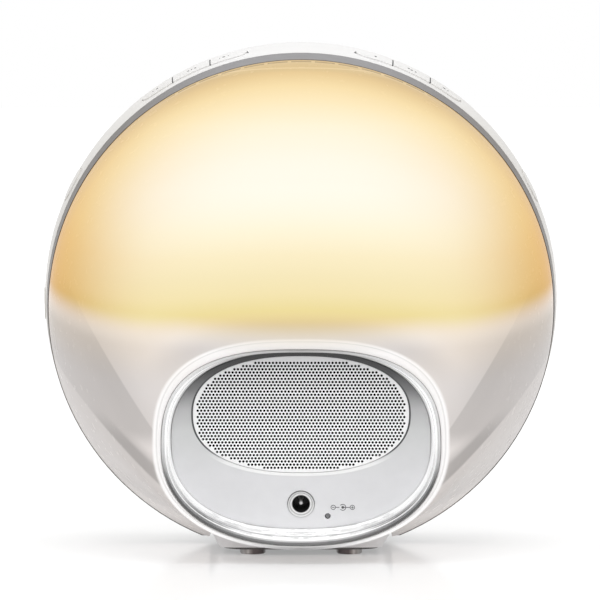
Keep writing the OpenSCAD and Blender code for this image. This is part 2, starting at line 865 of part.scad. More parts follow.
module cap_profile() {
    steps = 8;
    half = button_w / 2 + 1;
    polygon(concat(
        [for (i = [0 : steps]) let (s = button_s + half * (2 * i / steps - 1)) [band_r(s) + button_proud, s]],
        [[flange_top - flange_thick, button_s + half], [flange_top - flange_thick, button_s - half]]
    ));
}

// A button that fills part of a slot, with its flange inside the band and its stem
module button(slot_index, from, to, open_from, open_to) {
    g = slots[slot_index];
    half_split = asin(button_split / 2 / rim_r);
    a = open_from ? g[0] - 1 : from + half_split;
    b = open_to ? g[1] + 1 : to - half_split;
    flange_a = open_from ? g[0] - 0.8 : a;
    flange_b = open_to ? g[1] + 0.8 : b;
    color("white") head() {
        intersection() {
            turn_part(a, b) cap_profile();
            slot(g[0], g[1], button_gap);
        }
        turn_part(flange_a, flange_b) translate([flange_top - flange_thick, button_s - slot_half - flange_reach])
            square([flange_thick, 2 * (slot_half + flange_reach)]);
        on_radius((from + to) / 2, button_s) translate([0, 0, rim_r - stem_in])
            cylinder(r = stem_r, h = stem_in - (rim_r - flange_top) - flange_thick / 2);
    }
}

switch_side = 6;
switch_t = 4;
switch_out_r = rim_r - stem_in - 1.1;
button_board_s = button_s - switch_t / 2 - board_t;
board_out_r = switch_out_r - 1;
board_in_r = board_out_r - 10.6;
board_ring_r = board_in_r + 3.5;
// The button boards reach a little past their slots, with a post at each end and between the slots
board_past = 3;
post_in = 2.2;
board_right = [slots[0][0] - board_past, slots[2][1] + board_past];
board_left = [slots[4][0] - board_past, slots[1][1] + board_past];
board_posts = [
    board_right[0] + post_in, mid(slots[0][1], slots[2][0]), board_right[1] - post_in,
    board_left[1] - post_in, mid(slots[1][0], slots[3][1]), mid(slots[3][0], slots[4][1])
];

// The middle of each button: two splits cut each group of three
split_right = [20.8, 30];
split_left = [-29.8, -20.6];
function mid(a, b) = (a + b) / 2;
right_ends = [slots[0][0], split_right[0], split_right[1], slots[0][1]];
left_ends = [slots[1][1], split_left[1], split_left[0], slots[1][0]];
right_mid = [for (i = [0 : 2]) mid(right_ends[i], right_ends[i + 1])];
left_mid = [for (i = [0 : 2]) mid(left_ends[i], left_ends[i + 1])];
side_mid = [for (g = [slots[2], slots[3], slots[4]]) mid(g[0], g[1])];

module right_button_1() { button(0, slots[0][0], split_right[0], true, false); }
module right_button_2() { button(0, split_right[0], split_right[1], false, false); }
module right_button_3() { button(0, split_right[1], slots[0][1], false, true); }
module left_button_1() { button(1, split_left[1], slots[1][1], false, true); }
module left_button_2() { button(1, split_left[0], split_left[1], false, false); }
module left_button_3() { button(1, slots[1][0], split_left[0], true, false); }
module right_side_button() { button(2, slots[2][0], slots[2][1], true, true); }
module left_side_button() { button(3, slots[3][0], slots[3][1], true, true); }
module left_low_button() { button(4, slots[4][0], slots[4][1], true, true); }

plunger_in = 2;

module plunger(angle) {
    color("black") head() on_radius(angle, button_s) translate([0, 0, switch_out_r - plunger_in])
        cylinder(r = plunger_r, h = plunger_top - switch_out_r + plunger_in);
}

module button_board(ends) {
    color("seagreen") head() turn_part(ends[0], ends[1])
        translate([board_in_r, button_board_s]) square([board_out_r - board_in_r, board_t]);
}

module tact_switches() {
    color("dimgray") head() for (a = concat(right_mid, left_mid, side_mid)) on_radius(a, button_s) difference() {
        translate([-switch_side / 2, -switch_t / 2, switch_out_r - switch_side])
            cube([switch_side, switch_t, switch_side]);
        translate([0, 0, switch_out_r - plunger_in - button_travel - gap])
            cylinder(r = plunger_r + 0.3, h = switch_side);
    }
}

// ---- Base ----

// How far the pan stands behind the front of the band, and the radius of its corners
pan_set_back = 4.9;
pan_corner = 9;
pan_front = front_y + pan_set_back - mid_y;

// An upright rounded block of the base, from its front edge back
module pan_outline(half_w, front, length, z1, z2, corner = pan_corner) {
    translate([0, front + length / 2, z1]) linear_extrude(z2 - z1) round_rect(2 * half_w, length, corner);
}

// The pan's flared section, from side to side, made smaller by inset
module pan_flare(inset, z1) {
    flare_top = plate_top + pan_h - 3.9;
    top = plate_top + pan_h + (inset > 0 ? 1 : 0);
    translate([0, pan_front + pan_l + 1, 0]) rotate([90, 0, 0]) linear_extrude(pan_l + 2) polygon([
        [-pan_half_w + inset, z1], [pan_half_w - inset, z1], [pan_top_half_w - inset, flare_top],
        [pan_top_half_w - inset, top], [-pan_top_half_w + inset, top], [-pan_top_half_w + inset, flare_top]
    ]);
}

front_foot_y = pan_front + foot_front_edge + foot_r;
rear_foot_y = pan_front + pan_l - foot_back_edge - foot_r;
screw_x = pan_half_w - 6;
screw_y = [front_foot_y + screw_from_foot, rear_foot_y - screw_from_foot];
screw_r = 1.2;
screw_l = 4;
boss_r = 3;
boss_h = 6;

module at_screws(z) {
    for (x = [-1, 1], y = screw_y) translate([x * screw_x, y, z]) children();
}

module base_pan() {
    color("silver") difference() {
        union() {
            difference() {
                intersection() {
                    pan_flare(0, plate_top);
                    pan_outline(pan_top_half_w, pan_front, pan_l, plate_top, plate_top + pan_h);
                }
                intersection() {
                    pan_flare(pan_wall, plate_top + pan_wall);
                    pan_outline(pan_top_half_w - pan_wall, pan_front + pan_wall, pan_l - 2 * pan_wall,
                        plate_top + pan_wall, plate_top + pan_h + 1, pan_corner - pan_wall);
                }
            }
            at_screws(plate_top + eps) cylinder(r = boss_r, h = boss_h);
        }
        at_screws(plate_top - 1) cylinder(r = screw_r + 0.01, h = screw_l + 2);
        // Room for the band's ledge and the diffuser behind it
        head() turn() polygon([
            [ledge_r - 0.6, -band_front - 1], [rim_r * 2, -band_front - 1],
            [rim_r * 2, seat_s + ledge_t + 0.3], [ledge_r - 0.6, seat_s + ledge_t + 0.3]
        ]);
    }
}

module base_plate() {
    edge = 1;
    color("dimgray") difference() {
        pan_outline(pan_half_w - edge, pan_front + edge, pan_l - 2 * edge, foot_h, plate_top);
        at_screws(0) cylinder(r = screw_r + 0.2, h = plate_top + 1);
    }
}

module base_screws() {
    color("silver") {
        at_screws(foot_h - 1) cylinder(r = 2 * screw_r, h = 1);
        at_screws(foot_h - eps) cylinder(r = screw_r, h = plate_t + screw_l);
    }
}

module foot(x, y) {
    translate([x, y, 0]) rotate_extrude() polygon([
        [0, 0], [foot_r - 0.4, 0], [foot_r, 0.4], [foot_r, foot_h], [0, foot_h]
    ]);
}

module rear_feet() {
    color("dimgray") for (x = [-1, 1]) foot(x * foot_span_x / 2, rear_foot_y);
}

module front_feet() {
    color("dimgray") for (x = [-1, 1]) foot(x * foot_span_x / 2, front_foot_y);
}

rim_band();
seam_ring();
back_shell();
pod_ring();
rear_panel();
speaker_grille();
speaker_basket();
speaker_magnet();
speaker_cone();
speaker_surround();
jack_housing();
jack_pin();
jack_collar();
reset_button();
reset_switch();
power_board();
front_diffuser();
display_window();
display_ring();
display_shroud();
display_module();
digit_bars();
display_board();
inner_frame();
lamp_deck();
heat_spreader();
led_board();
leds();
main_board();
capacitors();
controller_chip();
board_connectors();
button_board(board_right);  // button_board_right
button_board(board_left);  // button_board_left
tact_switches();
right_button_1();
right_button_2();
right_button_3();
right_side_button();
left_button_1();
left_button_2();
left_button_3();
left_side_button();
left_low_button();
plunger(right_mid[0]);  // right_plunger_1
plunger(right_mid[1]);  // right_plunger_2
plunger(right_mid[2]);  // right_plunger_3
plunger(side_mid[0]);  // right_side_plunger
plunger(left_mid[0]);  // left_plunger_1
plunger(left_mid[1]);  // left_plunger_2
plunger(left_mid[2]);  // left_plunger_3
plunger(side_mid[1]);  // left_side_plunger
plunger(side_mid[2]);  // left_low_plunger
base_pan();
base_plate();
base_screws();
rear_feet();
front_feet();
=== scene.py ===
import math

import bmesh
import bpy
import numpy as np
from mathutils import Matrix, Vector
from mathutils.geometry import delaunay_2d_cdt


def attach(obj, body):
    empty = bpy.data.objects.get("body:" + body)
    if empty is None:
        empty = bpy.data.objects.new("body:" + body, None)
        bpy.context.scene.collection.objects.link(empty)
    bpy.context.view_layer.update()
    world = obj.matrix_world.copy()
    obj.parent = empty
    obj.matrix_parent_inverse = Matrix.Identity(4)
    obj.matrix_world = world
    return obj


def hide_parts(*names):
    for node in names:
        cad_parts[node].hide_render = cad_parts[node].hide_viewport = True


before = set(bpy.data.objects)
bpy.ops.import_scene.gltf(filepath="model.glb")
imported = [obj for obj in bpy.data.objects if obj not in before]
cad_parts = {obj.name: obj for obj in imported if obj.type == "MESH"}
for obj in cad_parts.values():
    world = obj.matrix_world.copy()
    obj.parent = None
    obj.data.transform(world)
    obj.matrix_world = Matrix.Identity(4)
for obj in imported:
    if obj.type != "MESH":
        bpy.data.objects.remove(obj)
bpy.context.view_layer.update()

# ---------------------------------------------------------------- the head's frame
# S runs along the rim's axis to the back, V up the rim's plane. Sizes are the part's own, in mm.
LEAN = math.radians(8)
SN, CS = math.sin(LEAN), math.cos(LEAN)
RIM_R = 94.0
CENTRE_Z = RIM_R * CS - 3.2
BAND_FRONT, BAND_REAR, BAND_CROWN, BAND_FALL = 14.0, 14.0, 2.0, 1.1
SHELL_START, SHELL_DEPTH, SHELL_R, SHELL_WALL = 23.6, 70.4, 91.7, 2.2
LIP_S, LIP_ROLL, LIP_SIDE, LIP_TOP, LIP_LOW = 94.0, 1.8, 2.8, 4.0, 1.0
POD_A, POD_B, POD_DROP, N_TOP, N_LOW = 49.4, 35.5, 35.7, 2.7, 2.25
SIDE_POWER = 1.6
PANEL_S, PANEL_IN, PANEL_N = 80.0, 77.6, 2.35
GAP, RING_WALL, RING_EDGE, RING_DROP, RING_STEP, RING_ROUND = 0.2, 3.2, 0.8, 0.9, 0.4, 0.5
RING_FLANK_S = LIP_S - RING_DROP - RING_ROUND
BODY_FLOOR = 2.9
GRILLE_A, GRILLE_B, GRILLE_DROP, GRILLE_N = 38.3, 21.1, 26.4, 2.3
GRILLE_FRONT, GRILLE_BACK = PANEL_S - 0.2, PANEL_S - 1.0
JACK_DROP = 59.0
BUTTON_S, BUTTON_W, BUTTON_PROUD = 5.2, 9.0, 0.3
PAN_SETBACK, PAN_TOP_HALF_W, PAN_L, PAN_CORNER, PAN_TOP_Z, PAN_CLEAR = 4.9, 33.0, 73.0, 9, 13.9, 0.3
TOP_END, LOW_END = POD_B + LIP_TOP - POD_DROP, -POD_B - LIP_LOW - POD_DROP
FRONT_Y = -BAND_FRONT * CS + (BODY_FLOOR - CENTRE_Z - BAND_FRONT * SN) * SN / CS
BACK_Y = SHELL_START * CS + TOP_END * SN + math.hypot(SHELL_DEPTH * CS, (SHELL_R - TOP_END) * SN)
MID_Y = (FRONT_Y + BACK_Y) / 2
# The scene's own sizes, in mm: a grille with finer holes than the part's, and the black cloth behind it
HOLE_PITCH, HOLE_ROW, HOLE_R, HOLE_SIDES = 1.24, 1.154, 0.45, 12
HOLE_ROWS, HOLE_REACH, HOLE_FIELD_DROP = 34, 32, 0.36
CLOTH_S = PANEL_S - 1.05


def place(x, s, v):
    """A point of the head's frame, in mm, as world metres."""
    return Vector((x, s * CS + v * SN - MID_Y, CENTRE_Z + v * CS - s * SN)) / 1000


def plane_v(s, z):
    """The v at which depth s lies at height z above the table."""
    return (z - CENTRE_Z + s * SN) / CS


def superellipse(a, b, n_top, n_low, count):
    """Points of an oval with half-axes a and b and one exponent for its upper and one for its lower half."""
    t = 2 * np.pi * (np.arange(count) + 0.5) / count
    c, s = np.cos(t), np.sin(t)
    n = np.where(s > 0, n_top, n_low)
    return np.stack([a * np.sign(c) * np.abs(c) ** (2 / n), b * np.sign(s) * np.abs(s) ** (2 / n)], 1)


def band_r(s):
    """The rim band's radius at depth s."""
    return RIM_R - (BAND_CROWN * (s / BAND_FRONT) ** 2 if s < 0 else BAND_FALL * (s / BAND_REAR) ** 2)


# ---------------------------------------------------------------- meshes
def new_object(name, verts, faces, smooth=True):
    mesh = bpy.data.meshes.new(name)
    mesh.from_pydata([tuple(v) for v in verts], [], faces)
    mesh.validate()
    mesh.update()
    if smooth:
        mesh.shade_smooth()
        mesh.set_sharp_from_angle(angle=math.radians(35))
    obj = bpy.data.objects.new(name, mesh)
    bpy.context.scene.collection.objects.link(obj)
    return obj


def outward(obj):
    """Turns all faces outwards."""
    bm = bmesh.new()
    bm.from_mesh(obj.data)
    bmesh.ops.recalc_face_normals(bm, faces=bm.faces)
    bm.to_mesh(obj.data)
    bm.free()
    obj.data.set_sharp_from_angle(angle=math.radians(35))
    return obj


def ring_loft(name, rings):
    """A closed surface through rings of (x, s, v) points, the last ring joined to the first."""
    m, n = len(rings), len(rings[0])
    verts = [place(*p) for ring in rings for p in ring]
    faces = []
    for j in range(m):
        for i in range(n):
            k, a, b = (i + 1) % n, j * n, ((j + 1) % m) * n
            faces.append((a + i, b + i, b + k, a + k))
    return outward(new_object(name, verts, faces))


def pod_oval(inset, s, n_top=N_TOP, n_low=N_LOW, around=240):
    """The pod's oval at depth s, drawn in by inset."""
    pts = superellipse(POD_A - inset, POD_B - inset, n_top, n_low, around)
    return [(p[0], s, p[1] - POD_DROP) for p in pts]


def lip_ring(share, s, around):
    """A ring of the lip: share 1 is its outer edge and 0 the opening."""
    top, low = POD_B + LIP_TOP * share, POD_B + LIP_LOW * share
    pts = superellipse(POD_A + LIP_SIDE * share, (top + low) / 2, N_TOP, N_LOW, around)
    return [(p[0], s, p[1] + (top - low) / 2 - POD_DROP) for p in pts]


def section(q, r, a_end, top_end, bottom_end):
    """The shell's outline at share q of its depth: half-width, top, bottom and the two exponents."""
    side = (1 - q**SIDE_POWER) ** (1 / SIDE_POWER)
    return (
        a_end + (r - a_end) * side,
        top_end + (r - top_end) * math.sqrt(max(1 - q * q, 0)),
        bottom_end - (r + bottom_end) * (1 - q) ** 1.3,
        2 + (N_TOP - 2) * q**3,
        2 + (N_LOW - 2) * q**3,
    )


def section_ring(sec, s, floor_v, around):
    """A ring of the shell at depth s, kept above floor_v."""
    a, top, bottom, n_top, n_low = sec
    pts = superellipse(a, (top - bottom) / 2, n_top, n_low, around)
    return [(p[0], s, max(p[1] + (top + bottom) / 2, floor_v)) for p in pts]


def make_shell(around=288):
    """The rear shell: outer wall, rolled lip and inner wall."""
    outer, roll, inner = 72, 8, 30
    inner_end = LIP_S - LIP_ROLL - 1
    rings = []
    for i in range(outer):
        q = math.sin(math.pi / 2 * i / outer)
        s = SHELL_START + q * SHELL_DEPTH
        sec = section(q, SHELL_R, POD_A + LIP_SIDE, TOP_END, LOW_END)
        rings.append(section_ring(sec, s, plane_v(s, BODY_FLOOR), around))
    for i in range(roll + 1):
        t = math.pi / 2 * i / roll
        rings.append(lip_ring(1 - math.sin(t), LIP_S - LIP_ROLL * (1 - math.cos(t)), around))
    for i in range(inner, -1, -1):
        q = math.sin(math.pi / 2 * i / inner)
        s = SHELL_START + q * (inner_end - SHELL_START)
        sec = section(q, SHELL_R - SHELL_WALL, POD_A, POD_B - POD_DROP, -POD_B - POD_DROP)
        rings.append(section_ring(sec, s, plane_v(s, BODY_FLOOR + SHELL_WALL), around))
    return ring_loft("rear_shell", rings)


def make_liner(around=288):
    """The ring that lines the opening, with two fine steps in its flank."""
    front, edge, bend = LIP_S - RING_DROP, GAP + RING_EDGE, RING_ROUND / 2
    corner = (0.4, 0.8, 1.2, math.pi / 2)

    def flank(share, lift=0.0):
        n_top, n_low = N_TOP + (PANEL_N - N_TOP) * share, N_LOW + (PANEL_N - N_LOW) * share
        s = RING_FLANK_S + (PANEL_S - RING_FLANK_S) * share + lift / 2
        return pod_oval(edge + (RING_WALL - edge) * share - lift, s, n_top, n_low, around)

    rings = [pod_oval(GAP, PANEL_IN, around=around), pod_oval(GAP, RING_FLANK_S, around=around)]
    rings += [pod_oval(GAP + bend * (1 - math.cos(t)), front - RING_ROUND * (1 - math.sin(t)), around=around)
              for t in corner]
    rings += [pod_oval(edge - bend * (1 - math.cos(t)), front - RING_ROUND * (1 - math.sin(t)), around=around)
              for t in reversed(corner)]
    rings.append(flank(0))
    for share in (1 / 3, 2 / 3):
        rings += [flank(share, RING_STEP / 2), flank(share, -RING_STEP / 2)]
    rings += [flank(1), pod_oval(RING_WALL, PANEL_IN, PANEL_N, PANEL_N, around)]
    return ring_loft("pod_liner", rings)


def cut_by_prism(obj, outline, z1, z2):
    """Takes an upright prism out of obj; outline and heights in world metres."""
    n = len(outline)
    verts = [(x, y, z1) for x, y in outline] + [(x, y, z2) for x, y in outline]
    faces = [tuple(range(n - 1, -1, -1)), tuple(range(n, 2 * n))]
    faces += [(i, (i + 1) % n, n + (i + 1) % n, n + i) for i in range(n)]
    cutter = new_object("cutter", verts, faces, smooth=False)
    mod = obj.modifiers.new("cut", "BOOLEAN")
    mod.operation = "DIFFERENCE"
    mod.solver = "EXACT"
    mod.object = cutter
    bpy.context.view_layer.update()
    depsgraph = bpy.context.evaluated_depsgraph_get()
    mesh = bpy.data.meshes.new_from_object(obj.evaluated_get(depsgraph))
    obj.modifiers.clear()
    obj.data = mesh
    bpy.data.objects.remove(cutter)
    return obj


def round_outline(half_w, y1, y2, r, steps=6):
    """A rectangle with round corners: sizes in mm, points in metres."""
    pts = []
    corners = [(half_w - r, y2 - r), (r - half_w, y2 - r), (r - half_w, y1 + r), (half_w - r, y1 + r)]
    for (cx, cy), a0 in zip(corners, (0, 90, 180, 270)):
        for i in range(steps + 1):
            a = math.radians(a0 + 90 * i / steps)
            pts.append(((cx + r * math.cos(a)) / 1000, (cy + r * math.sin(a)) / 1000))
    return pts


def in_grille(x, y, inset_a=0.0, inset_b=0.0):
    """Is x, y inside the grille's oval, drawn in by the insets at its sides and at its top and bottom?"""
    return (abs(x) / (GRILLE_A - inset_a)) ** GRILLE_N + (abs(y) / (GRILLE_B - inset_b)) ** GRILLE_N < 1


def grille_holes():
    """Centres of the holes: staggered rows round the field's middle, kept off the plate's edge."""
    holes = []
    for j in range(-HOLE_ROWS // 2, HOLE_ROWS // 2):
        for i in range(-HOLE_REACH, HOLE_REACH + 1):
            x, y = (i + (0.5 if j % 2 else 0)) * HOLE_PITCH, (j + 0.5) * HOLE_ROW
            if in_grille(x, y, 1.1, 0.4) and in_grille(x, y - HOLE_FIELD_DROP, 0.85, 0.85):
                holes.append((x, y - HOLE_FIELD_DROP))
    return holes


def make_grille(around=160):
    """The perforated plate: a triangulated oval with a ring of edges for every hole, back and front."""
    holes = grille_holes()
    points = [Vector((p[0], p[1])) for p in superellipse(GRILLE_A, GRILLE_B, GRILLE_N, GRILLE_N, around)]
    edges = [(i, (i + 1) % around) for i in range(around)]
    turns = [2 * math.pi * m / HOLE_SIDES for m in range(HOLE_SIDES)]
    for x, y in holes:
        k = len(points)
        points += [Vector((x + HOLE_R * math.cos(t), y + HOLE_R * math.sin(t))) for t in turns]
        edges += [(k + m, k + (m + 1) % HOLE_SIDES) for m in range(HOLE_SIDES)]
    out_v, _, out_f, _, _, _ = delaunay_2d_cdt(points, edges, [], 0, 1e-6, False)
    centres = np.array(holes)
    flat = np.array([(v.x, v.y) for v in out_v])
    keep = []
    for f in out_f:
        c = flat[list(f)].mean(0)
        in_hole = ((centres - c) ** 2).sum(1).min() < (HOLE_R * 0.97) ** 2
        if in_grille(*c) and not in_hole:
            keep.append(tuple(f))
    n = len(flat)
    verts = [place(p[0], s, p[1] - GRILLE_DROP) for s in (GRILLE_FRONT, GRILLE_BACK) for p in flat]
    faces = list(keep) + [tuple(n + i for i in reversed(f)) for f in keep]
    plates = len(faces)
    used = {(a, b) for f in keep for a, b in zip(f, f[1:] + f[:1])}
    for f in keep:
        for a, b in zip(f, f[1:] + f[:1]):
            if (b, a) not in used:
                faces.append((b, a, n + a, n + b))
    grille = outward(new_object("fine_grille", verts, faces, smooth=False))
    # The holes' walls take the second, black material: painted shade inside the holes
    for poly in grille.data.polygons[plates:]:
        x, y = flat[[k % n for k in poly.vertices]].mean(0)
        if in_grille(x, y, 0.2, 0.2):
            poly.material_index = 1
    return grille


def slab(name, outline, where, top, bottom):
    """A thin convex piece: its outline in mm is laid down by where(u, w, height)."""
    n = len(outline)
    verts = [where(u, w, top) for u, w in outline] + [where(u, w, bottom) for u, w in outline]
    faces = [tuple(range(n)), tuple(range(2 * n - 1, n - 1, -1))]
    faces += [(i, n + i, n + (i + 1) % n, (i + 1) % n) for i in range(n)]
    return outward(new_object(name, verts, faces, smooth=False))


def thin_ring(name, r_out, r_in, where, top, bottom, from_deg=0, to_deg=360, count=32):
    """A flat ring, or part of one, laid down by where."""
    closed = to_deg - from_deg == 360
    steps = count if closed else count + 1
    verts, faces = [], []
    for i in range(steps):
        t = math.radians(from_deg + (to_deg - from_deg) * i / count)
        c, d = math.cos(t), math.sin(t)
        verts += [where(r_out * c, r_out * d, top), where(r_in * c, r_in * d, top),
                  where(r_in * c, r_in * d, bottom), where(r_out * c, r_out * d, bottom)]
    for i in range(count):
        a, b = 4 * i, 4 * ((i + 1) % steps)
        faces += [(a + k, a + (k + 1) % 4, b + (k + 1) % 4, b + k) for k in range(4)]
    if not closed:
        faces += [(0, 1, 2, 3), tuple(4 * count + k for k in (3, 2, 1, 0))]
    return outward(new_object(name, verts, faces, smooth=False))


def on_band(angle, s, turned=0.0, lift=0.0):
    """Laying down on the band at an angle round the rim: u runs round the rim, w to the back."""
    ct, st = math.cos(math.radians(turned)), math.sin(math.radians(turned))

    def where(u, w, h):
        u, w = u * ct - w * st, u * st + w * ct
        a, d = math.radians(angle) + u / RIM_R, s + w
        r = band_r(d) + lift + h
        return place(-r * math.sin(a), d, r * math.cos(a))

    return where


def on_panel(x, v):
    """Laying down on the rear panel: u across, w up the rim's plane."""
    return lambda u, w, h: place(x + u, PANEL_S + h, v + w)


def bar(half_u, half_w):
    """The corners of a rectangle."""
    return [(-half_u, -half_w), (half_u, -half_w), (half_u, half_w), (-half_u, half_w)]


def oblong(length, width, steps=5):
    """A bar with round ends."""
    l, r = (length - width) / 2, width / 2
    pts = []
    for cx, a0 in ((l, -90), (-l, 90)):
        for i in range(steps + 1):
            a = math.radians(a0 + 180 * i / steps)
            pts.append((cx + r * math.cos(a), r * math.sin(a)))
    return pts


# ---------------------------------------------------------------- node helpers
def material(name):
    mat = bpy.data.materials.new(name)
    mat.use_nodes = True
    nt = mat.node_tree
    return mat, nt, nt.nodes["Principled BSDF"]


def linear(c):
    """sRGB 0-255 to linear."""
    out = []
    for v in c:
        v /= 255
        out.append(v / 12.92 if v <= 0.04045 else ((v + 0.055) / 1.055) ** 2.4)
    return (*out, 1)


def shade(level):
    """A grey given as sRGB 0-255."""
    return linear((level,) * 3)


def grey(level):
    """A grey given as a linear value."""
    return (level, level, level, 1)


def greys(*stops):
    return [(at, grey(level)) for at, level in stops]


def coords(nt):
    return nt.nodes.new("ShaderNodeTexCoord").outputs["Object"]


def noise(nt, scale, detail=3, vector=None):
    node = nt.nodes.new("ShaderNodeTexNoise")
    node.inputs["Scale"].default_value = scale
    node.inputs["Detail"].default_value = detail
    nt.links.new(vector or coords(nt), node.inputs["Vector"])
    return node.outputs["Fac"]


def ramp(nt, fac, stops):
    node = nt.nodes.new("ShaderNodeValToRGB")
    els = node.color_ramp.elements
    while len(els) < len(stops):
        els.new(0.5)
    for el, (pos, col) in zip(els, sorted(stops, key=lambda s: s[0])):
        el.position = pos
        el.color = col
    nt.links.new(fac, node.inputs["Fac"])
    return node.outputs["Color"]


def cloudy(nt, scale, low, high):
    """Noise as a grey between two linear levels."""
    return ramp(nt, noise(nt, scale), greys((0.3, low), (0.7, high)))


def math_node(nt, op, a, b=None, c=None, clamp=False):
    node = nt.nodes.new("ShaderNodeMath")
    node.operation = op
    node.use_clamp = clamp
    for i, v in enumerate((a, b, c)):
        if v is None:
            continue
        if isinstance(v, (int, float)):
            node.inputs[i].default_value = v
        else:
            nt.links.new(v, node.inputs[i])
    return node.outputs[0]


def multiply(nt, value, *others):
    for other in others:
        value = math_node(nt, "MULTIPLY", value, other)
    return value


def absolute(nt, value):
    return math_node(nt, "ABSOLUTE", value)


def turned_from_up(nt, across, up):
    """The angle from straight up, in degrees."""
    return math_node(nt, "DEGREES", math_node(nt, "ARCTAN2", across, up))


def head_coords(nt):
    """x, s and v of the head's frame, in mm, from object coordinates."""
    sep = nt.nodes.new("ShaderNodeSeparateXYZ")
    nt.links.new(coords(nt), sep.inputs[0])
    x = multiply(nt, sep.outputs[0], 1000)
    y = math_node(nt, "MULTIPLY_ADD", sep.outputs[1], 1000, MID_Y)
    z = math_node(nt, "MULTIPLY_ADD", sep.outputs[2], 1000, -CENTRE_Z)
    s = math_node(nt, "SUBTRACT", multiply(nt, y, CS), multiply(nt, z, SN))
    v = math_node(nt, "ADD", multiply(nt, y, SN), multiply(nt, z, CS))
    return x, s, v


def mix_colour(nt, fac, a, b, mode="MIX"):
    """Inputs 6 and 7 and output 2 of the Mix node are its colours."""
    node = nt.nodes.new("ShaderNodeMix")
    node.data_type = "RGBA"
    node.blend_type = mode
    if isinstance(fac, (int, float)):
        node.inputs[0].default_value = fac
    else:
        nt.links.new(fac, node.inputs[0])
    for i, v in ((6, a), (7, b)):
        if isinstance(v, tuple):
            node.inputs[i].default_value = v
        else:
            nt.links.new(v, node.inputs[i])
    return node.outputs[2]


def tinted(nt, a, b):
    return mix_colour(nt, 1.0, a, b, "MULTIPLY")


def map_range(nt, value, lo, hi, out_lo=0.0, out_hi=1.0):
    node = nt.nodes.new("ShaderNodeMapRange")
    node.interpolation_type = "SMOOTHSTEP"
    node.inputs["From Min"].default_value = lo
    node.inputs["From Max"].default_value = hi
    node.inputs["To Min"].default_value = out_lo
    node.inputs["To Max"].default_value = out_hi
    nt.links.new(value, node.inputs["Value"])
    return node.outputs["Result"]


def band_mask(nt, value, lo, hi, soft):
    """1 between lo and hi, falling to 0 over soft to either side."""
    up = map_range(nt, value, lo - soft, lo)
    down = map_range(nt, value, hi, hi + soft)
    return math_node(nt, "SUBTRACT", up, down, clamp=True)


def oval_field(nt, x, v, a, b, drop, n_top, n_low):
    """1 on the oval, less inside and more outside."""
    up = math_node(nt, "ADD", v, drop)
    n = math_node(nt, "MULTIPLY_ADD", math_node(nt, "GREATER_THAN", up, 0.0), n_top - n_low, n_low)
    px = math_node(nt, "POWER", math_node(nt, "DIVIDE", absolute(nt, x), a), n)
    pv = math_node(nt, "POWER", math_node(nt, "DIVIDE", absolute(nt, up), b), n)
    return math_node(nt, "POWER", math_node(nt, "ADD", px, pv), math_node(nt, "DIVIDE", 1.0, n))


def set_roughness(nt, bsdf, scale, low, high):
    """Roughness that varies between low and high."""
    nt.links.new(cloudy(nt, scale, low, high), bsdf.inputs["Roughness"])


def set_colour(nt, bsdf, colour, scale, low):
    """The base colour, with slightly darker mottling."""
    nt.links.new(tinted(nt, colour, cloudy(nt, scale, low, 1)), bsdf.inputs["Base Color"])


# ---------------------------------------------------------------- materials
GRAIN_SCALE, MOTTLE_SCALE = 900, 225


def finish(nt, bsdf, rough, bump=0.02):
    """Roughness that varies by a tenth either way, and a fine grain."""
    set_roughness(nt, bsdf, MOTTLE_SCALE, rough * 0.9, min(rough * 1.1, 1))
    if bump:
        grain = nt.nodes.new("ShaderNodeBump")
        grain.inputs["Strength"].default_value = bump
        grain.inputs["Distance"].default_value = 0.0002
        nt.links.new(noise(nt, GRAIN_SCALE), grain.inputs["Height"])
        nt.links.new(grain.outputs["Normal"], bsdf.inputs["Normal"])


def moulded(name, colour, rough=0.35, speck=0.03, bump=0.02, coat=0.0, metallic=0.0, spec=0.5):
    """Moulded or painted surface: slight mottling in colour and roughness and a fine grain."""
    mat, nt, bsdf = material(name)
    lo, hi = [(*[min(c * (1 + k), 1) for c in colour[:3]], 1) for k in (-speck, speck)]
    nt.links.new(ramp(nt, noise(nt, MOTTLE_SCALE), [(0.3, lo), (0.7, hi)]), bsdf.inputs["Base Color"])
    finish(nt, bsdf, rough, bump)
    bsdf.inputs["Coat Weight"].default_value = coat
    bsdf.inputs["Coat Roughness"].default_value = 0.08
    bsdf.inputs["Metallic"].default_value = metallic
    bsdf.inputs["Specular IOR Level"].default_value = spec
    return mat


# The lit shell's colours, evenly spaced over GLOW_SPAN mm from the golden rim inwards
GLOW_COLOURS = [
    (0.557, 0.336, 0.136), (0.694, 0.441, 0.192), (0.802, 0.542, 0.26), (0.846, 0.605, 0.331),
    (0.867, 0.655, 0.419), (0.891, 0.716, 0.533), (0.923, 0.796, 0.678), (0.964, 0.896, 0.852), (1, 1, 1),
]
GLOW_START, GLOW_SPAN = 25.44, 66.55
# Its tints by height above the rim's axis, in mm
GLOW_HEIGHTS = [
    (4, (0.520, 0.420, 0.235)), (9, (0.540, 0.425, 0.225)), (14, (0.566, 0.476, 0.222)),
    (20, (0.598, 0.515, 0.294)), (26, (0.611, 0.541, 0.339)), (33, (0.639, 0.583, 0.399)),
    (42, (0.669, 0.658, 0.526)), (55, (0.701, 0.752, 0.741)), (75, (0.740, 0.862, 1.0)),
]
GLOW_TOP = 80
GLOW_GAIN = 1.546
SHELL_WHITE = linear((233, 227, 224))
# The broken line inside the rim: start and pitch of its dashes in degrees, and the open share of each
DASH_START, DASH_PITCH, DASH_GAP = 93.73, 5.33, 0.15


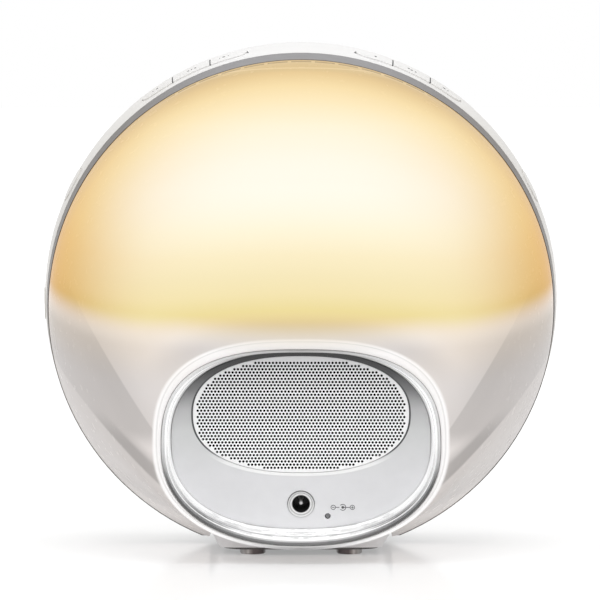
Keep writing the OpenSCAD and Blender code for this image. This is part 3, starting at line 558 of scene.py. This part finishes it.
def shell_glow(nt, s, v, x_squared, side):
    """Golden towards the rim, white in the middle, and deeper just above the lamp deck."""
    depth = math_node(nt, "MULTIPLY_ADD", v, -0.063, math_node(nt, "MULTIPLY_ADD", x_squared, 0.000655, s))
    fac = math_node(nt, "MULTIPLY_ADD", depth, 1 / GLOW_SPAN, -GLOW_START / GLOW_SPAN, clamp=True)
    steps = len(GLOW_COLOURS) - 1
    glow = ramp(nt, fac, [(i / steps, (*c, 1)) for i, c in enumerate(GLOW_COLOURS)])
    height = math_node(nt, "DIVIDE", math_node(nt, "ADD", v, side), GLOW_TOP, clamp=True)
    return tinted(nt, glow, ramp(nt, height, [(h / GLOW_TOP, (*c, 1)) for h, c in GLOW_HEIGHTS]))


def shell_lines(nt, lit, x, s, v, x_squared):
    """Fine moulded lines inside the top of the rim, the darkest broken into short dashes."""
    angle = turned_from_up(nt, x, v)
    near_top = math_node(nt, "SUBTRACT", 1.0, map_range(nt, absolute(nt, angle), 28.0, 35.0))
    dashes = math_node(nt, "DIVIDE", math_node(nt, "ADD", angle, DASH_START), DASH_PITCH)
    cell = math_node(nt, "FRACT", dashes)
    dash = multiply(nt, band_mask(nt, s, 26.0, 27.1, 0.6), math_node(nt, "GREATER_THAN", cell, DASH_GAP))
    narrowing = math_node(nt, "MINIMUM", multiply(nt, x_squared, 0.0075), 8.0)
    tan = map_range(nt, math_node(nt, "ADD", s, narrowing), 38.5, 36.2)
    pale = band_mask(nt, math_node(nt, "MULTIPLY_ADD", x_squared, 0.0103, s), 34.3, 35.2, 0.5)
    for line, strength, colour in (
        (tan, 0.55, (0.46, 0.35, 0.18, 1)),
        (pale, 0.12, (0.9, 0.75, 0.5, 1)),
        (dash, 0.7, (0.19, 0.12, 0.045, 1)),
    ):
        lit = mix_colour(nt, multiply(nt, line, near_top, strength), lit, colour)
    return lit


def outside_slant(nt, wide, v, slope, start):
    """How far out from a slanted line, in mm across."""
    return math_node(nt, "ADD", math_node(nt, "MULTIPLY_ADD", v, -slope, wide), -start)


def shell_shade(nt, v, wide, lip, end):
    """Painted reflections: soft darker crescents low down at the sides with a crisp inner edge; painted shade
    above the lip.
    """
    inner = outside_slant(nt, wide, v, 0.69, 71.9)
    # The crescents' tones: painted reflections
    tone = ramp(nt, math_node(nt, "MULTIPLY_ADD", inner, 1 / 60, 0.5, clamp=True), greys(
        (0.0, 1.0), (0.17, 0.97), (0.37, 0.89), (0.495, 0.84),
        (0.505, 0.69), (0.60, 0.71), (0.70, 0.77), (0.85, 0.81),
    ))
    outer = outside_slant(nt, wide, v, 1.2, 112.5)
    fold = multiply(nt, band_mask(nt, outer, -10.0, -5.0, 3.0), map_range(nt, v, -24.0, -36.0))
    tail = multiply(nt, map_range(nt, outer, -10.0, -17.0), map_range(nt, v, -29.0, -37.0))
    # Painted shade just above the lip
    above_lip = multiply(nt, map_range(nt, lip, 1.25, 1.04), map_range(nt, v, -20.0, 0.0))
    tone = mix_colour(nt, fold, tone, grey(0.6))
    tone = mix_colour(nt, tail, tone, grey(0.97))
    tone = mix_colour(nt, map_range(nt, outer, -5.2, -3.4), tone, grey(0.92))
    tone = mix_colour(nt, map_range(nt, v, 22.0, -12.0), grey(1), tone)
    tone = mix_colour(nt, above_lip, tone, grey(0.84))
    return mix_colour(nt, end, tone, grey(1))


def lip_highlight_and_shade(nt, v, wide, lip):
    """The lip's painted highlight round the pod, turning to painted shade at the bottom, with one fine line.
    """
    angle = turned_from_up(nt, wide, math_node(nt, "ADD", v, POD_DROP))
    fac = math_node(nt, "DIVIDE", angle, 180.0, clamp=True)
    edge = ramp(nt, fac, [
        (0.0, linear((246, 244, 243))), (0.74, linear((250, 249, 249))), (0.84, linear((232, 231, 231))),
        (0.92, linear((190, 189, 189))), (1.0, linear((160, 159, 159))),
    ])
    return mix_colour(nt, band_mask(nt, lip, 0.972, 0.979, 0.004), edge, linear((228, 227, 226)))


def shell_material():
    """Translucent white shell that glows above the lamp deck and is plain below it."""
    mat, nt, bsdf = material("lit_shell")
    x, s, v = head_coords(nt)
    x_squared, wide = multiply(nt, x, x), absolute(nt, x)
    side = math_node(nt, "MINIMUM", multiply(nt, x_squared, 0.0012), 3.5)
    lip = oval_field(nt, x, v, POD_A + LIP_SIDE, (2 * POD_B + LIP_TOP + LIP_LOW) / 2,
                     POD_DROP - (LIP_TOP - LIP_LOW) / 2, N_TOP, N_LOW)
    lip_out = math_node(nt, "MULTIPLY_ADD", map_range(nt, v, -66.0, -72.0), -0.05, lip)
    on_lip = multiply(nt, map_range(nt, lip_out, 1.012, 0.988), map_range(nt, s, 88.0, 90.0))
    end = map_range(nt, v, -58.0, -72.0)
    tone = shell_shade(nt, v, wide, lip, end)
    lit = tinted(nt, shell_lines(nt, shell_glow(nt, s, v, x_squared, side), x, s, v, x_squared), tone)
    # The lip takes a painted highlight, with painted shade at its bottom
    plain = mix_colour(nt, on_lip, tinted(nt, SHELL_WHITE, tone), lip_highlight_and_shade(nt, v, wide, lip))
    # Painted warm light of the lamp on the plain shell beside the glow's edge
    painted_warm_light = multiply(nt, map_range(nt, v, -16.0, 4.0), map_range(nt, wide, 30.0, 60.0), 0.8)
    plain = mix_colour(nt, painted_warm_light, plain, tinted(nt, plain, (1.0, 0.93, 0.82, 1)))
    on = map_range(nt, math_node(nt, "SUBTRACT", v, math_node(nt, "MINIMUM", side, 2.2)), -3.0, 11.0)
    # The lit zone's base colour also takes the glow's colours: painted light
    lit_base = tinted(nt, lit, grey(0.34 * GLOW_GAIN))
    nt.links.new(mix_colour(nt, on, plain, lit_base), bsdf.inputs["Base Color"])
    nt.links.new(mix_colour(nt, on, SHELL_WHITE, lit), bsdf.inputs["Emission Color"])
    # Painted light: a faint glow on the lip near its bottom and on the shell's lower end
    painted_lip_light = multiply(nt, on_lip, map_range(nt, v, -71.0, -66.0, 0.0, 0.1))
    painted_end_light = multiply(nt, end, math_node(nt, "MULTIPLY_ADD", on_lip, -0.17, 0.17))
    painted_low_light = math_node(nt, "MAXIMUM", painted_lip_light, painted_end_light)
    strength = math_node(nt, "MAXIMUM", multiply(nt, on, 0.64 * GLOW_GAIN), painted_low_light)
    nt.links.new(strength, bsdf.inputs["Emission Strength"])
    set_roughness(nt, bsdf, 300, 0.24, 0.28)
    bsdf.inputs["Specular IOR Level"].default_value = 0.04
    return mat


# The clear ring's tones, zone by zone from the lip inwards: degrees round the pod from its top, and grey; the
# dark tones at the top are painted shade under the lip
RING_GROOVE = [(0, 150), (25, 170), (60, 200), (88, 190), (98, 150), (108, 62), (128, 66), (141, 130),
               (156, 165), (180, 190)]
RING_MIDDLE = [(0, 112), (28, 118), (48, 205), (66, 238), (88, 240), (100, 205), (112, 160), (127, 100),
               (134, 130), (146, 205), (162, 240), (180, 246)]
RING_INNER = [(0, 60), (30, 68), (50, 100), (64, 232), (75, 250), (180, 252)]
# The fine lines on its flank, painted refraction lines: share of the way in, half-width, grey and strength
RING_LINES = [(0.27, 0.02, 252, 0.9), (0.43, 0.025, 110, 0.6), (0.65, 0.02, 220, 0.5), (1.0, 0.035, 170, 0.6)]


def strokes(nt, angle, flank, along, across, detail, lo, hi):
    """Noise in strokes that run round the ring."""
    comb = nt.nodes.new("ShaderNodeCombineXYZ")
    nt.links.new(multiply(nt, angle, along), comb.inputs[0])
    nt.links.new(multiply(nt, flank, across), comb.inputs[1])
    return map_range(nt, noise(nt, 1.0, detail, comb.outputs[0]), lo, hi)


def liner_material():
    """Clear ring over a white wall: pale, with painted shade at its top, painted refraction lines along its
    flank, painted silvery streaks low down and a faint painted glow.
    """
    mat, nt, bsdf = material("clear_ring")
    x, s, v = head_coords(nt)
    flank = math_node(nt, "DIVIDE", math_node(nt, "SUBTRACT", RING_FLANK_S, s), RING_FLANK_S - PANEL_S)
    angle = absolute(nt, turned_from_up(nt, x, math_node(nt, "ADD", v, POD_DROP)))
    round_fac = math_node(nt, "DIVIDE", angle, 180.0, clamp=True)
    groove, middle, inner = [
        ramp(nt, round_fac, [(deg / 180, shade(level)) for deg, level in zone])
        for zone in (RING_GROOVE, RING_MIDDLE, RING_INNER)
    ]
    above_end = math_node(nt, "SUBTRACT", 1.0, map_range(nt, angle, 152.0, 172.0))
    low = multiply(nt, map_range(nt, angle, 98.0, 112.0), above_end)
    # Painted refraction streaks: silvery low down, darker ones further down
    streak = multiply(nt, strokes(nt, angle, flank, 0.045, 9.0, 3, 0.40, 0.60), low, 0.4)
    middle = mix_colour(nt, streak, middle, linear((250, 250, 251)))
    col = mix_colour(nt, map_range(nt, flank, 0.14, 0.22), groove, middle)
    col = mix_colour(nt, map_range(nt, flank, 0.5, 0.8), col, inner)
    dark_streaks = multiply(nt, strokes(nt, angle, flank, 0.11, 6.5, 4, 0.50, 0.62),
                     map_range(nt, angle, 112.0, 140.0), map_range(nt, flank, 0.2, 0.3), 0.5)
    col = mix_colour(nt, dark_streaks, col, shade(140))
    rim_line = multiply(nt, band_mask(nt, flank, -0.05, 0.05, 0.03), map_range(nt, angle, 95.0, 110.0), 0.85)
    col = mix_colour(nt, rim_line, col, shade(74))
    for share, half, level, depth in RING_LINES:
        line = band_mask(nt, flank, share - half, share + half, 0.03)
        line = multiply(nt, line, map_range(nt, angle, 30.0, 55.0, 0.0, depth))
        col = mix_colour(nt, line, col, shade(level))
    nt.links.new(col, bsdf.inputs["Base Color"])
    # The ring gives a little light in its own tones: painted light that lifts it
    nt.links.new(col, bsdf.inputs["Emission Color"])
    bsdf.inputs["Emission Strength"].default_value = 0.32
    set_roughness(nt, bsdf, 200, 0.16, 0.22)
    bsdf.inputs["IOR"].default_value = 1.49
    bsdf.inputs["Coat Weight"].default_value = 0.3
    bsdf.inputs["Coat Roughness"].default_value = 0.1
    return mat


def below_axis(nt, v, span):
    """0 at the rim's axis and 1 at span mm below it."""
    return math_node(nt, "DIVIDE", multiply(nt, v, -1.0), span, clamp=True)


def grille_material():
    """White painted plate, with painted shade under the lip making it a little darker towards its top."""
    mat, nt, bsdf = material("grille_white")
    v = head_coords(nt)[2]
    # Painted shade: darker near the top
    tone = ramp(nt, below_axis(nt, v, 50), [
        (0.08, linear((226, 226, 228))), (0.35, linear((244, 244, 245))), (0.6, linear((253, 253, 254))),
        (1.0, linear((255, 255, 255))),
    ])
    set_colour(nt, bsdf, tone, MOTTLE_SCALE, 0.97)
    finish(nt, bsdf, 0.45)
    return mat


def panel_material():
    """Satin grey panel with painted shade under the lip, and a fine groove round the grille, painted dark at
    its top and sides with a painted highlight below.
    """
    mat, nt, bsdf = material("panel_grey")
    x, _, v = head_coords(nt)
    # Painted shade under the lip: dark at the top, lighter below
    tone = ramp(nt, below_axis(nt, v, 70), [
        (0.03, linear((62, 62, 63))), (0.10, linear((64, 64, 65))), (0.16, linear((77, 77, 78))),
        (0.25, linear((121, 121, 122))), (0.35, linear((187, 187, 188))), (0.46, linear((210, 211, 211))),
        (0.70, linear((227, 227, 229))), (0.95, linear((230, 230, 232))),
    ])
    field = oval_field(nt, x, v, GRILLE_A, GRILLE_B, GRILLE_DROP, GRILLE_N, GRILLE_N)
    # Painted shade in the groove at the top and sides of the grille
    groove = multiply(nt, band_mask(nt, field, 0.99, 1.012, 0.008), map_range(nt, v, -46.0, -38.0))
    tone = mix_colour(nt, groove, tone, linear((70, 71, 73)))
    # A painted highlight below the grille's bottom edge
    under = multiply(nt, band_mask(nt, field, 1.0, 1.05, 0.02), map_range(nt, v, -40.0, -46.0))
    tone = mix_colour(nt, under, tone, grey(0.97))
    set_colour(nt, bsdf, tone, 220, 0.97)
    set_roughness(nt, bsdf, 220, 0.4, 0.46)
    return mat


def window_material():
    """Smoked clear plastic."""
    mat, nt, bsdf = material("window_smoke")
    tint = ramp(nt, noise(nt, 60), [(0.3, (0.30, 0.30, 0.31, 1)), (0.7, (0.32, 0.32, 0.33, 1))])
    nt.links.new(tint, bsdf.inputs["Base Color"])
    bsdf.inputs["Transmission Weight"].default_value = 0.85
    set_roughness(nt, bsdf, 200, 0.04, 0.07)
    bsdf.inputs["IOR"].default_value = 1.49
    return mat


def band_material(name, top, side, rough, coat):
    """Plain colour round the head, with painted shading from the top's tone to the sides' tone."""
    mat, nt, bsdf = material(name)
    x = head_coords(nt)[0]
    col = mix_colour(nt, map_range(nt, absolute(nt, x), 20.0, 78.0), linear(top), linear(side))
    set_colour(nt, bsdf, col, 900, 0.985)
    set_roughness(nt, bsdf, 220, rough, rough + 0.05)
    bsdf.inputs["Coat Weight"].default_value = coat
    bsdf.inputs["Coat Roughness"].default_value = 0.15
    return mat


# Tones round the socket: radius in mm, and the grey above and below its centre; the collar's outer line is
# painted shade above and a painted highlight below
SOCKET_SPAN = 8.0
COLLAR_RINGS = [(3.95, 205, 190), (4.15, 236, 240), (4.5, 238, 242), (4.62, 120, 214), (4.85, 110, 206)]
HOUSING_RINGS = [(3.12, 26, 26), (3.2, 150, 150), (3.3, 226, 236), (3.75, 232, 236), (3.9, 196, 196)]


def socket_material(name, rings, rough):
    """Concentric tones round the socket's axis, with painted shade above its centre and painted highlights
    below.
    """
    mat, nt, bsdf = material(name)
    x, _, v = head_coords(nt)
    up = math_node(nt, "ADD", v, JACK_DROP)
    r = math_node(nt, "SQRT", math_node(nt, "ADD", multiply(nt, x, x), multiply(nt, up, up)))
    fac = math_node(nt, "DIVIDE", r, SOCKET_SPAN, clamp=True)
    above = ramp(nt, fac, [(radius / SOCKET_SPAN, shade(top)) for radius, top, low in rings])
    below = ramp(nt, fac, [(radius / SOCKET_SPAN, shade(low)) for radius, top, low in rings])
    set_colour(nt, bsdf, mix_colour(nt, map_range(nt, up, 2.5, -4.0), above, below), 700, 0.96)
    set_roughness(nt, bsdf, 220, rough, rough + 0.06)
    return mat


def foot_material():
    """Grey-brown rubber with painted sheen in light streaks, by distance from the middle."""
    mat, nt, bsdf = material("foot_rubber")
    x = head_coords(nt)[0]
    fac = math_node(nt, "MULTIPLY_ADD", absolute(nt, x), 0.1, -1.2, clamp=True)
    col = ramp(nt, fac, [
        (0.0, linear((128, 122, 120))), (0.08, linear((225, 222, 220))), (0.16, linear((98, 84, 84))),
        (0.52, linear((106, 92, 92))), (0.62, linear((170, 160, 156))), (0.70, linear((238, 232, 230))),
        (0.78, linear((196, 188, 184))), (0.86, linear((222, 218, 216))), (0.97, linear((190, 186, 184))),
    ])
    set_colour(nt, bsdf, col, 900, 0.92)
    set_roughness(nt, bsdf, 220, 0.3, 0.4)
    bsdf.inputs["Coat Weight"].default_value = 0.3
    return mat


def glowing(name, colour, strength):
    """Plastic that gives light of one colour."""
    mat, nt, bsdf = material(name)
    c = ramp(nt, noise(nt, 500), [(0.3, (*[k * 0.95 for k in colour], 1)), (0.7, (*colour, 1))])
    nt.links.new(c, bsdf.inputs["Base Color"])
    nt.links.new(c, bsdf.inputs["Emission Color"])
    bsdf.inputs["Emission Strength"].default_value = strength
    bsdf.inputs["Roughness"].default_value = 0.4
    return mat


mats = {
    # The bands' top and side tones differ by painted shading
    "white": band_material("white_gloss", (237, 236, 235), (222, 219, 214), 0.3, 0.1),
    "seam": band_material("grey_ring", (128, 126, 128), (84, 77, 71), 0.35, 0.0),
    "shell": shell_material(),
    "liner": liner_material(),
    "panel": panel_material(),
    "grille": grille_material(),
    "hole": moulded("hole_black", (0.004, 0.004, 0.004), rough=0.9, speck=0.15, bump=0, spec=0.0),
    "collar": socket_material("collar_white", COLLAR_RINGS, 0.3),
    "socket": socket_material("socket_black", HOUSING_RINGS, 0.4),
    "pin": moulded("pin_nickel", (0.72, 0.72, 0.72), rough=0.45, metallic=0.3),
    "black": moulded("black_plastic", (0.012, 0.012, 0.013), rough=0.35, speck=0.15),
    "steel": moulded("plated_steel", (0.55, 0.55, 0.56), rough=0.25, metallic=1.0),
    "reset": moulded("reset_grey", linear((120, 120, 122)), rough=0.5),
    "mark": moulded("mark_grey", linear((70, 70, 72)), rough=0.5, bump=0),
    # Dark grey for the slabs of painted shade in the splits and slot ends
    "split_shade": moulded("split_shade_dark", linear((58, 58, 60)), rough=0.5, bump=0),
    "board": moulded("board_green", (0.02, 0.12, 0.05), rough=0.35, speck=0.12),
    "front": moulded("front_white", linear((240, 236, 228)), rough=0.4, speck=0.01, bump=0.005),
    "window": window_material(),
    "silver": moulded("ring_silver", (0.6, 0.6, 0.6), rough=0.3, metallic=0.8),
    "inner": moulded("inner_white", linear((232, 231, 228)), rough=0.5),
    "spreader": moulded("spreader", (0.62, 0.62, 0.64), rough=0.35, metallic=1.0),
    "base": moulded("base_grey", linear((240, 239, 240)), rough=0.3, coat=0.1),
    "base_dark": moulded("base_dark", linear((92, 90, 88)), rough=0.3),
    "foot": foot_material(),
    "capacitor": moulded("capacitor", (0.015, 0.02, 0.06), rough=0.4),
    "digits": glowing("lit_digits", (0.95, 0.32, 0.04), 4.0),
    "led": glowing("lit_led", (1.0, 0.78, 0.4), 1.0),
}

BUTTONS = [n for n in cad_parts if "_button" in n and not n.startswith(("button_board", "reset"))]
PLUNGERS = [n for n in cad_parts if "plunger" in n]
looks = {
    "white": ["rim_band", *BUTTONS],
    "seam": ["seam_ring"],
    "shell": ["back_shell"],
    "liner": ["pod_ring"],
    "panel": ["rear_panel"],
    "grille": ["speaker_grille"],
    "collar": ["jack_collar"],
    "socket": ["jack_housing"],
    "pin": ["jack_pin"],
    "black": ["speaker_surround", "speaker_cone", "reset_switch", "controller_chip", "tact_switches",
              "display_module"],
    "steel": ["speaker_basket", "base_screws", "speaker_magnet"],
    "reset": ["reset_button"],
    "board": ["power_board", "display_board", "main_board", "button_board_right", "button_board_left"],
    "front": ["front_diffuser"],
    "window": ["display_window"],
    "silver": ["display_ring"],
    "inner": ["display_shroud", "inner_frame", "lamp_deck", "board_connectors", "led_board", *PLUNGERS],
    "digits": ["digit_bars"],
    "led": ["leds"],
    "spreader": ["heat_spreader"],
    "capacitor": ["capacitors"],
    "base": ["base_pan"],
    "base_dark": ["base_plate"],
    "foot": ["rear_feet", "front_feet"],
}
for key, nodes in looks.items():
    for n in nodes:
        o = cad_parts[n]
        o.data.materials.clear()
        o.data.materials.append(mats[key])


def dress(obj, key, body="lamp"):
    """Gives obj its material, unless it has one, and fixes it to a body."""
    if not obj.data.materials:
        obj.data.materials.append(mats[key])
    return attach(obj, body)


# ---------------------------------------------------------------- pieces
pan_y1 = FRONT_Y + PAN_SETBACK - MID_Y
pan_y2 = pan_y1 + PAN_L
pan_hole = round_outline(PAN_TOP_HALF_W + PAN_CLEAR, pan_y1 - PAN_CLEAR, pan_y2 + PAN_CLEAR, PAN_CORNER)
shell = make_shell()
cut_by_prism(shell, pan_hole, -0.001, PAN_TOP_Z / 1000)
dress(shell, "shell")
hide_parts("back_shell")

liner = make_liner()
dress(liner, "liner")
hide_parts("pod_ring")

grille = make_grille()
grille.data.materials.append(mats["grille"])
grille.data.materials.append(mats["hole"])
dress(grille, "grille")
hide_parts("speaker_grille")

cloth_pts = superellipse(GRILLE_A - 0.6, GRILLE_B - 0.6, GRILLE_N, GRILLE_N, 96)
verts = [place(0, CLOTH_S, -GRILLE_DROP)] + [place(p[0], CLOTH_S, p[1] - GRILLE_DROP) for p in cloth_pts]
around = len(cloth_pts)
cloth = new_object("grille_cloth", verts, [(0, 1 + i, 1 + (i + 1) % around) for i in range(around)])
dress(cloth, "hole")

# Dark slabs, painted shade, in the splits between the rim buttons and at the inner ends of the two long slots
for name, angle in (("right_1", 20.8), ("right_2", 30.0), ("left_1", -20.6), ("left_2", -29.8)):
    insert = bar(0.2, BUTTON_W / 2 - 0.3)
    dress(slab("divider_" + name, insert, on_band(angle, BUTTON_S), 0.25, -1.2), "split_shade")
for name, angle in (("right", 12.1), ("left", -11.9)):
    where = on_band(angle, BUTTON_S + 1.6, 75)
    dress(slab("slot_end_" + name, oblong(1.5, 0.6), where, 0.02, -0.8), "split_shade")

# Small plain marks on the buttons: angle round the rim, s, length, width before widening, and turn
MARK_WIDEN = 1.8
MARKS = {
    "right_button_1": [(16.74, 5.7, 0.8, 0.7, 0)],
    "right_button_2": [(24.6, 5.0, 0.9, 0.45, 35), (25.3, 5.7, 0.9, 0.45, -35), (26.3, 5.5, 0.6, 0.6, 0)],
    "right_button_3": [(33.6, 5.4, 1.2, 0.45, 0), (34.6, 5.4, 0.5, 0.5, 0)],
    "left_button_1": [(-17.35, 5.0, 1.1, 0.5, 20), (-16.3, 5.2, 0.4, 0.4, 0), (-18.3, 5.2, 0.4, 0.4, 0)],
    "left_button_2": [(-24.1, 5.5, 0.8, 0.5, 15), (-25.0, 5.5, 0.5, 0.5, 0), (-25.8, 5.5, 0.8, 0.5, -15)],
    "left_button_3": [(-33.8, 5.4, 0.9, 0.45, 0), (-34.9, 5.4, 0.5, 0.5, 0)],
}
for button, marks in MARKS.items():
    for k, (angle, at, length, width, turned) in enumerate(marks):
        outline = [(a, MARK_WIDEN * b) for a, b in oblong(length, width, 4)]
        where = on_band(angle, at, turned, BUTTON_PROUD)
        dress(slab("mark_%s_%d" % (button, k), outline, where, 0.06, -0.05), "mark", button)

# The usual symbol of a socket with the positive pole inside, without letters
POLE_V, POLE_X, POLE_SPAN = -60.2, -14.85, 3.4


def draw(piece, name, *shape, at=POLE_X, top=0.03, **more):
    """Lays one stroke of the symbol on the panel."""
    dress(piece(name, *shape, on_panel(at, POLE_V), top, -0.03, **more), "mark")


for name, at in (("out", POLE_X + POLE_SPAN), ("in", POLE_X - POLE_SPAN)):
    draw(thin_ring, "pole_" + name, 0.9, 0.68, at=at)
    draw(slab, "pole_bar_" + name, bar(0.45, 0.11), at=at)
draw(slab, "pole_cross", bar(0.11, 0.45), at=POLE_X - POLE_SPAN, top=0.035)
draw(slab, "pole_centre", oblong(1.0, 0.999, 8))
draw(thin_ring, "pole_cup", 1.2, 0.97, from_deg=40, to_deg=320, count=24)
for name, u1, u2 in (("out", 1.2, 2.5), ("in", -2.5, -0.45)):
    draw(slab, "pole_line_" + name, [(u1, -0.12), (u2, -0.12), (u2, 0.12), (u1, 0.12)])

# ---------------------------------------------------------------- stage
FLOOR_HALF = 6.0
# What the floor adds for seen rays near the object and far off, and between which distances it rises, in m
LIFT_NEAR, LIFT_FAR, LIFT_FROM, LIFT_TO = 0.29, 0.5, 0.25, 1.6


def seen(nt):
    """1 for rays from the camera and for its mirrored and refracted rays."""
    path = nt.nodes.new("ShaderNodeLightPath")
    direct = math_node(nt, "MAXIMUM", path.outputs["Is Camera Ray"], path.outputs["Is Glossy Ray"])
    return math_node(nt, "MAXIMUM", direct, path.outputs["Is Transmission Ray"])


def floor_material():
    """Plain pale floor with a soft sheen, made paler for seen rays."""
    mat = bpy.data.materials.new("floor")
    mat.use_nodes = True
    nt = mat.node_tree
    nt.nodes.clear()
    out = nt.nodes.new("ShaderNodeOutputMaterial")
    diffuse = nt.nodes.new("ShaderNodeBsdfDiffuse")
    nt.links.new(cloudy(nt, 4, 0.82, 0.84), diffuse.inputs["Color"])
    gloss = nt.nodes.new("ShaderNodeBsdfGlossy")
    gloss.inputs["Roughness"].default_value = 0.12
    sheen = nt.nodes.new("ShaderNodeFresnel")
    sheen.inputs["IOR"].default_value = 1.45
    mix = nt.nodes.new("ShaderNodeMixShader")
    nt.links.new(multiply(nt, sheen.outputs[0], 0.7), mix.inputs[0])
    nt.links.new(diffuse.outputs[0], mix.inputs[1])
    nt.links.new(gloss.outputs[0], mix.inputs[2])
    lift = nt.nodes.new("ShaderNodeEmission")
    lift.inputs["Color"].default_value = (1, 1, 1, 1)
    length = nt.nodes.new("ShaderNodeVectorMath")
    length.operation = "LENGTH"
    nt.links.new(coords(nt), length.inputs[0])
    away = map_range(nt, length.outputs["Value"], LIFT_FROM, LIFT_TO, LIFT_NEAR, LIFT_FAR)
    nt.links.new(multiply(nt, seen(nt), away), lift.inputs["Strength"])
    add = nt.nodes.new("ShaderNodeAddShader")
    nt.links.new(mix.outputs[0], add.inputs[0])
    nt.links.new(lift.outputs[0], add.inputs[1])
    nt.links.new(add.outputs[0], out.inputs["Surface"])
    return mat


floor = new_object("floor", [(*p, 0) for p in bar(FLOOR_HALF, FLOOR_HALF)], [(0, 1, 2, 3)], smooth=False)
floor.data.materials.append(floor_material())


def world_setup():
    """Soft light from all round, a little stronger from above, and white for seen rays."""
    world = bpy.data.worlds.new("studio")
    bpy.context.scene.world = world
    world.use_nodes = True
    nt = world.node_tree
    nt.nodes.clear()
    out = nt.nodes.new("ShaderNodeOutputWorld")
    tc = nt.nodes.new("ShaderNodeTexCoord")
    sep = nt.nodes.new("ShaderNodeSeparateXYZ")
    nt.links.new(tc.outputs["Generated"], sep.inputs[0])
    height = math_node(nt, "MULTIPLY_ADD", sep.outputs[2], 0.5, 0.5)
    up = ramp(nt, height, greys((0.0, 0.7), (0.5, 0.85), (1.0, 1.0)))
    soft = nt.nodes.new("ShaderNodeBackground")
    nt.links.new(up, soft.inputs["Color"])
    soft.inputs["Strength"].default_value = 0.74
    white = nt.nodes.new("ShaderNodeBackground")
    white.inputs["Color"].default_value = (1, 1, 1, 1)
    white.inputs["Strength"].default_value = 1.0
    mix = nt.nodes.new("ShaderNodeMixShader")
    nt.links.new(seen(nt), mix.inputs[0])
    nt.links.new(soft.outputs[0], mix.inputs[1])
    nt.links.new(white.outputs[0], mix.inputs[2])
    nt.links.new(mix.outputs[0], out.inputs["Surface"])


world_setup()


def area_light(name, where, target, size, power):
    """A soft light that shows in no reflection."""
    data = bpy.data.lights.new(name, "AREA")
    data.shape = "RECTANGLE"
    data.size, data.size_y = size
    data.energy = power
    obj = bpy.data.objects.new(name, data)
    obj.location = where
    obj.rotation_euler = (Vector(target) - Vector(where)).to_track_quat("-Z", "Y").to_euler()
    obj.visible_glossy = False
    bpy.context.scene.collection.objects.link(obj)


area_light("top", (0, 0.5, 1.4), (0, 0.05, 0.08), (1.2, 1.2), 8)
area_light("fill", (0, 3.0, 0.5), (0, 0.05, 0.06), (2.5, 0.8), 18)

# ---------------------------------------------------------------- camera
CAMERA_RISE = math.radians(3.5)
CAMERA_DISTANCE = 2.0
IMAGE_WIDTH, SENSOR_WIDTH = 600, 36
# Width in pixels of one unit across at one unit from the camera
FOCAL_PIXELS = 5440
# How far the aim lies from the rim's middle, in mm
AIM_X, AIM_Z = 0.37, -1.29
middle = place(0, 0, 0)
cam_data = bpy.data.cameras.new("camera")
cam_data.lens = FOCAL_PIXELS / IMAGE_WIDTH * SENSOR_WIDTH
cam_data.sensor_width = SENSOR_WIDTH
cam = bpy.data.objects.new("camera", cam_data)
cam.location = middle + Vector((0, math.cos(CAMERA_RISE), math.sin(CAMERA_RISE))) * CAMERA_DISTANCE
aim = middle + Vector((AIM_X, 0, AIM_Z)) / 1000
cam.rotation_euler = (aim - cam.location).to_track_quat("-Z", "Y").to_euler()
bpy.context.scene.collection.objects.link(cam)
bpy.context.scene.camera = cam

bpy.context.scene.view_settings.view_transform = "Standard"
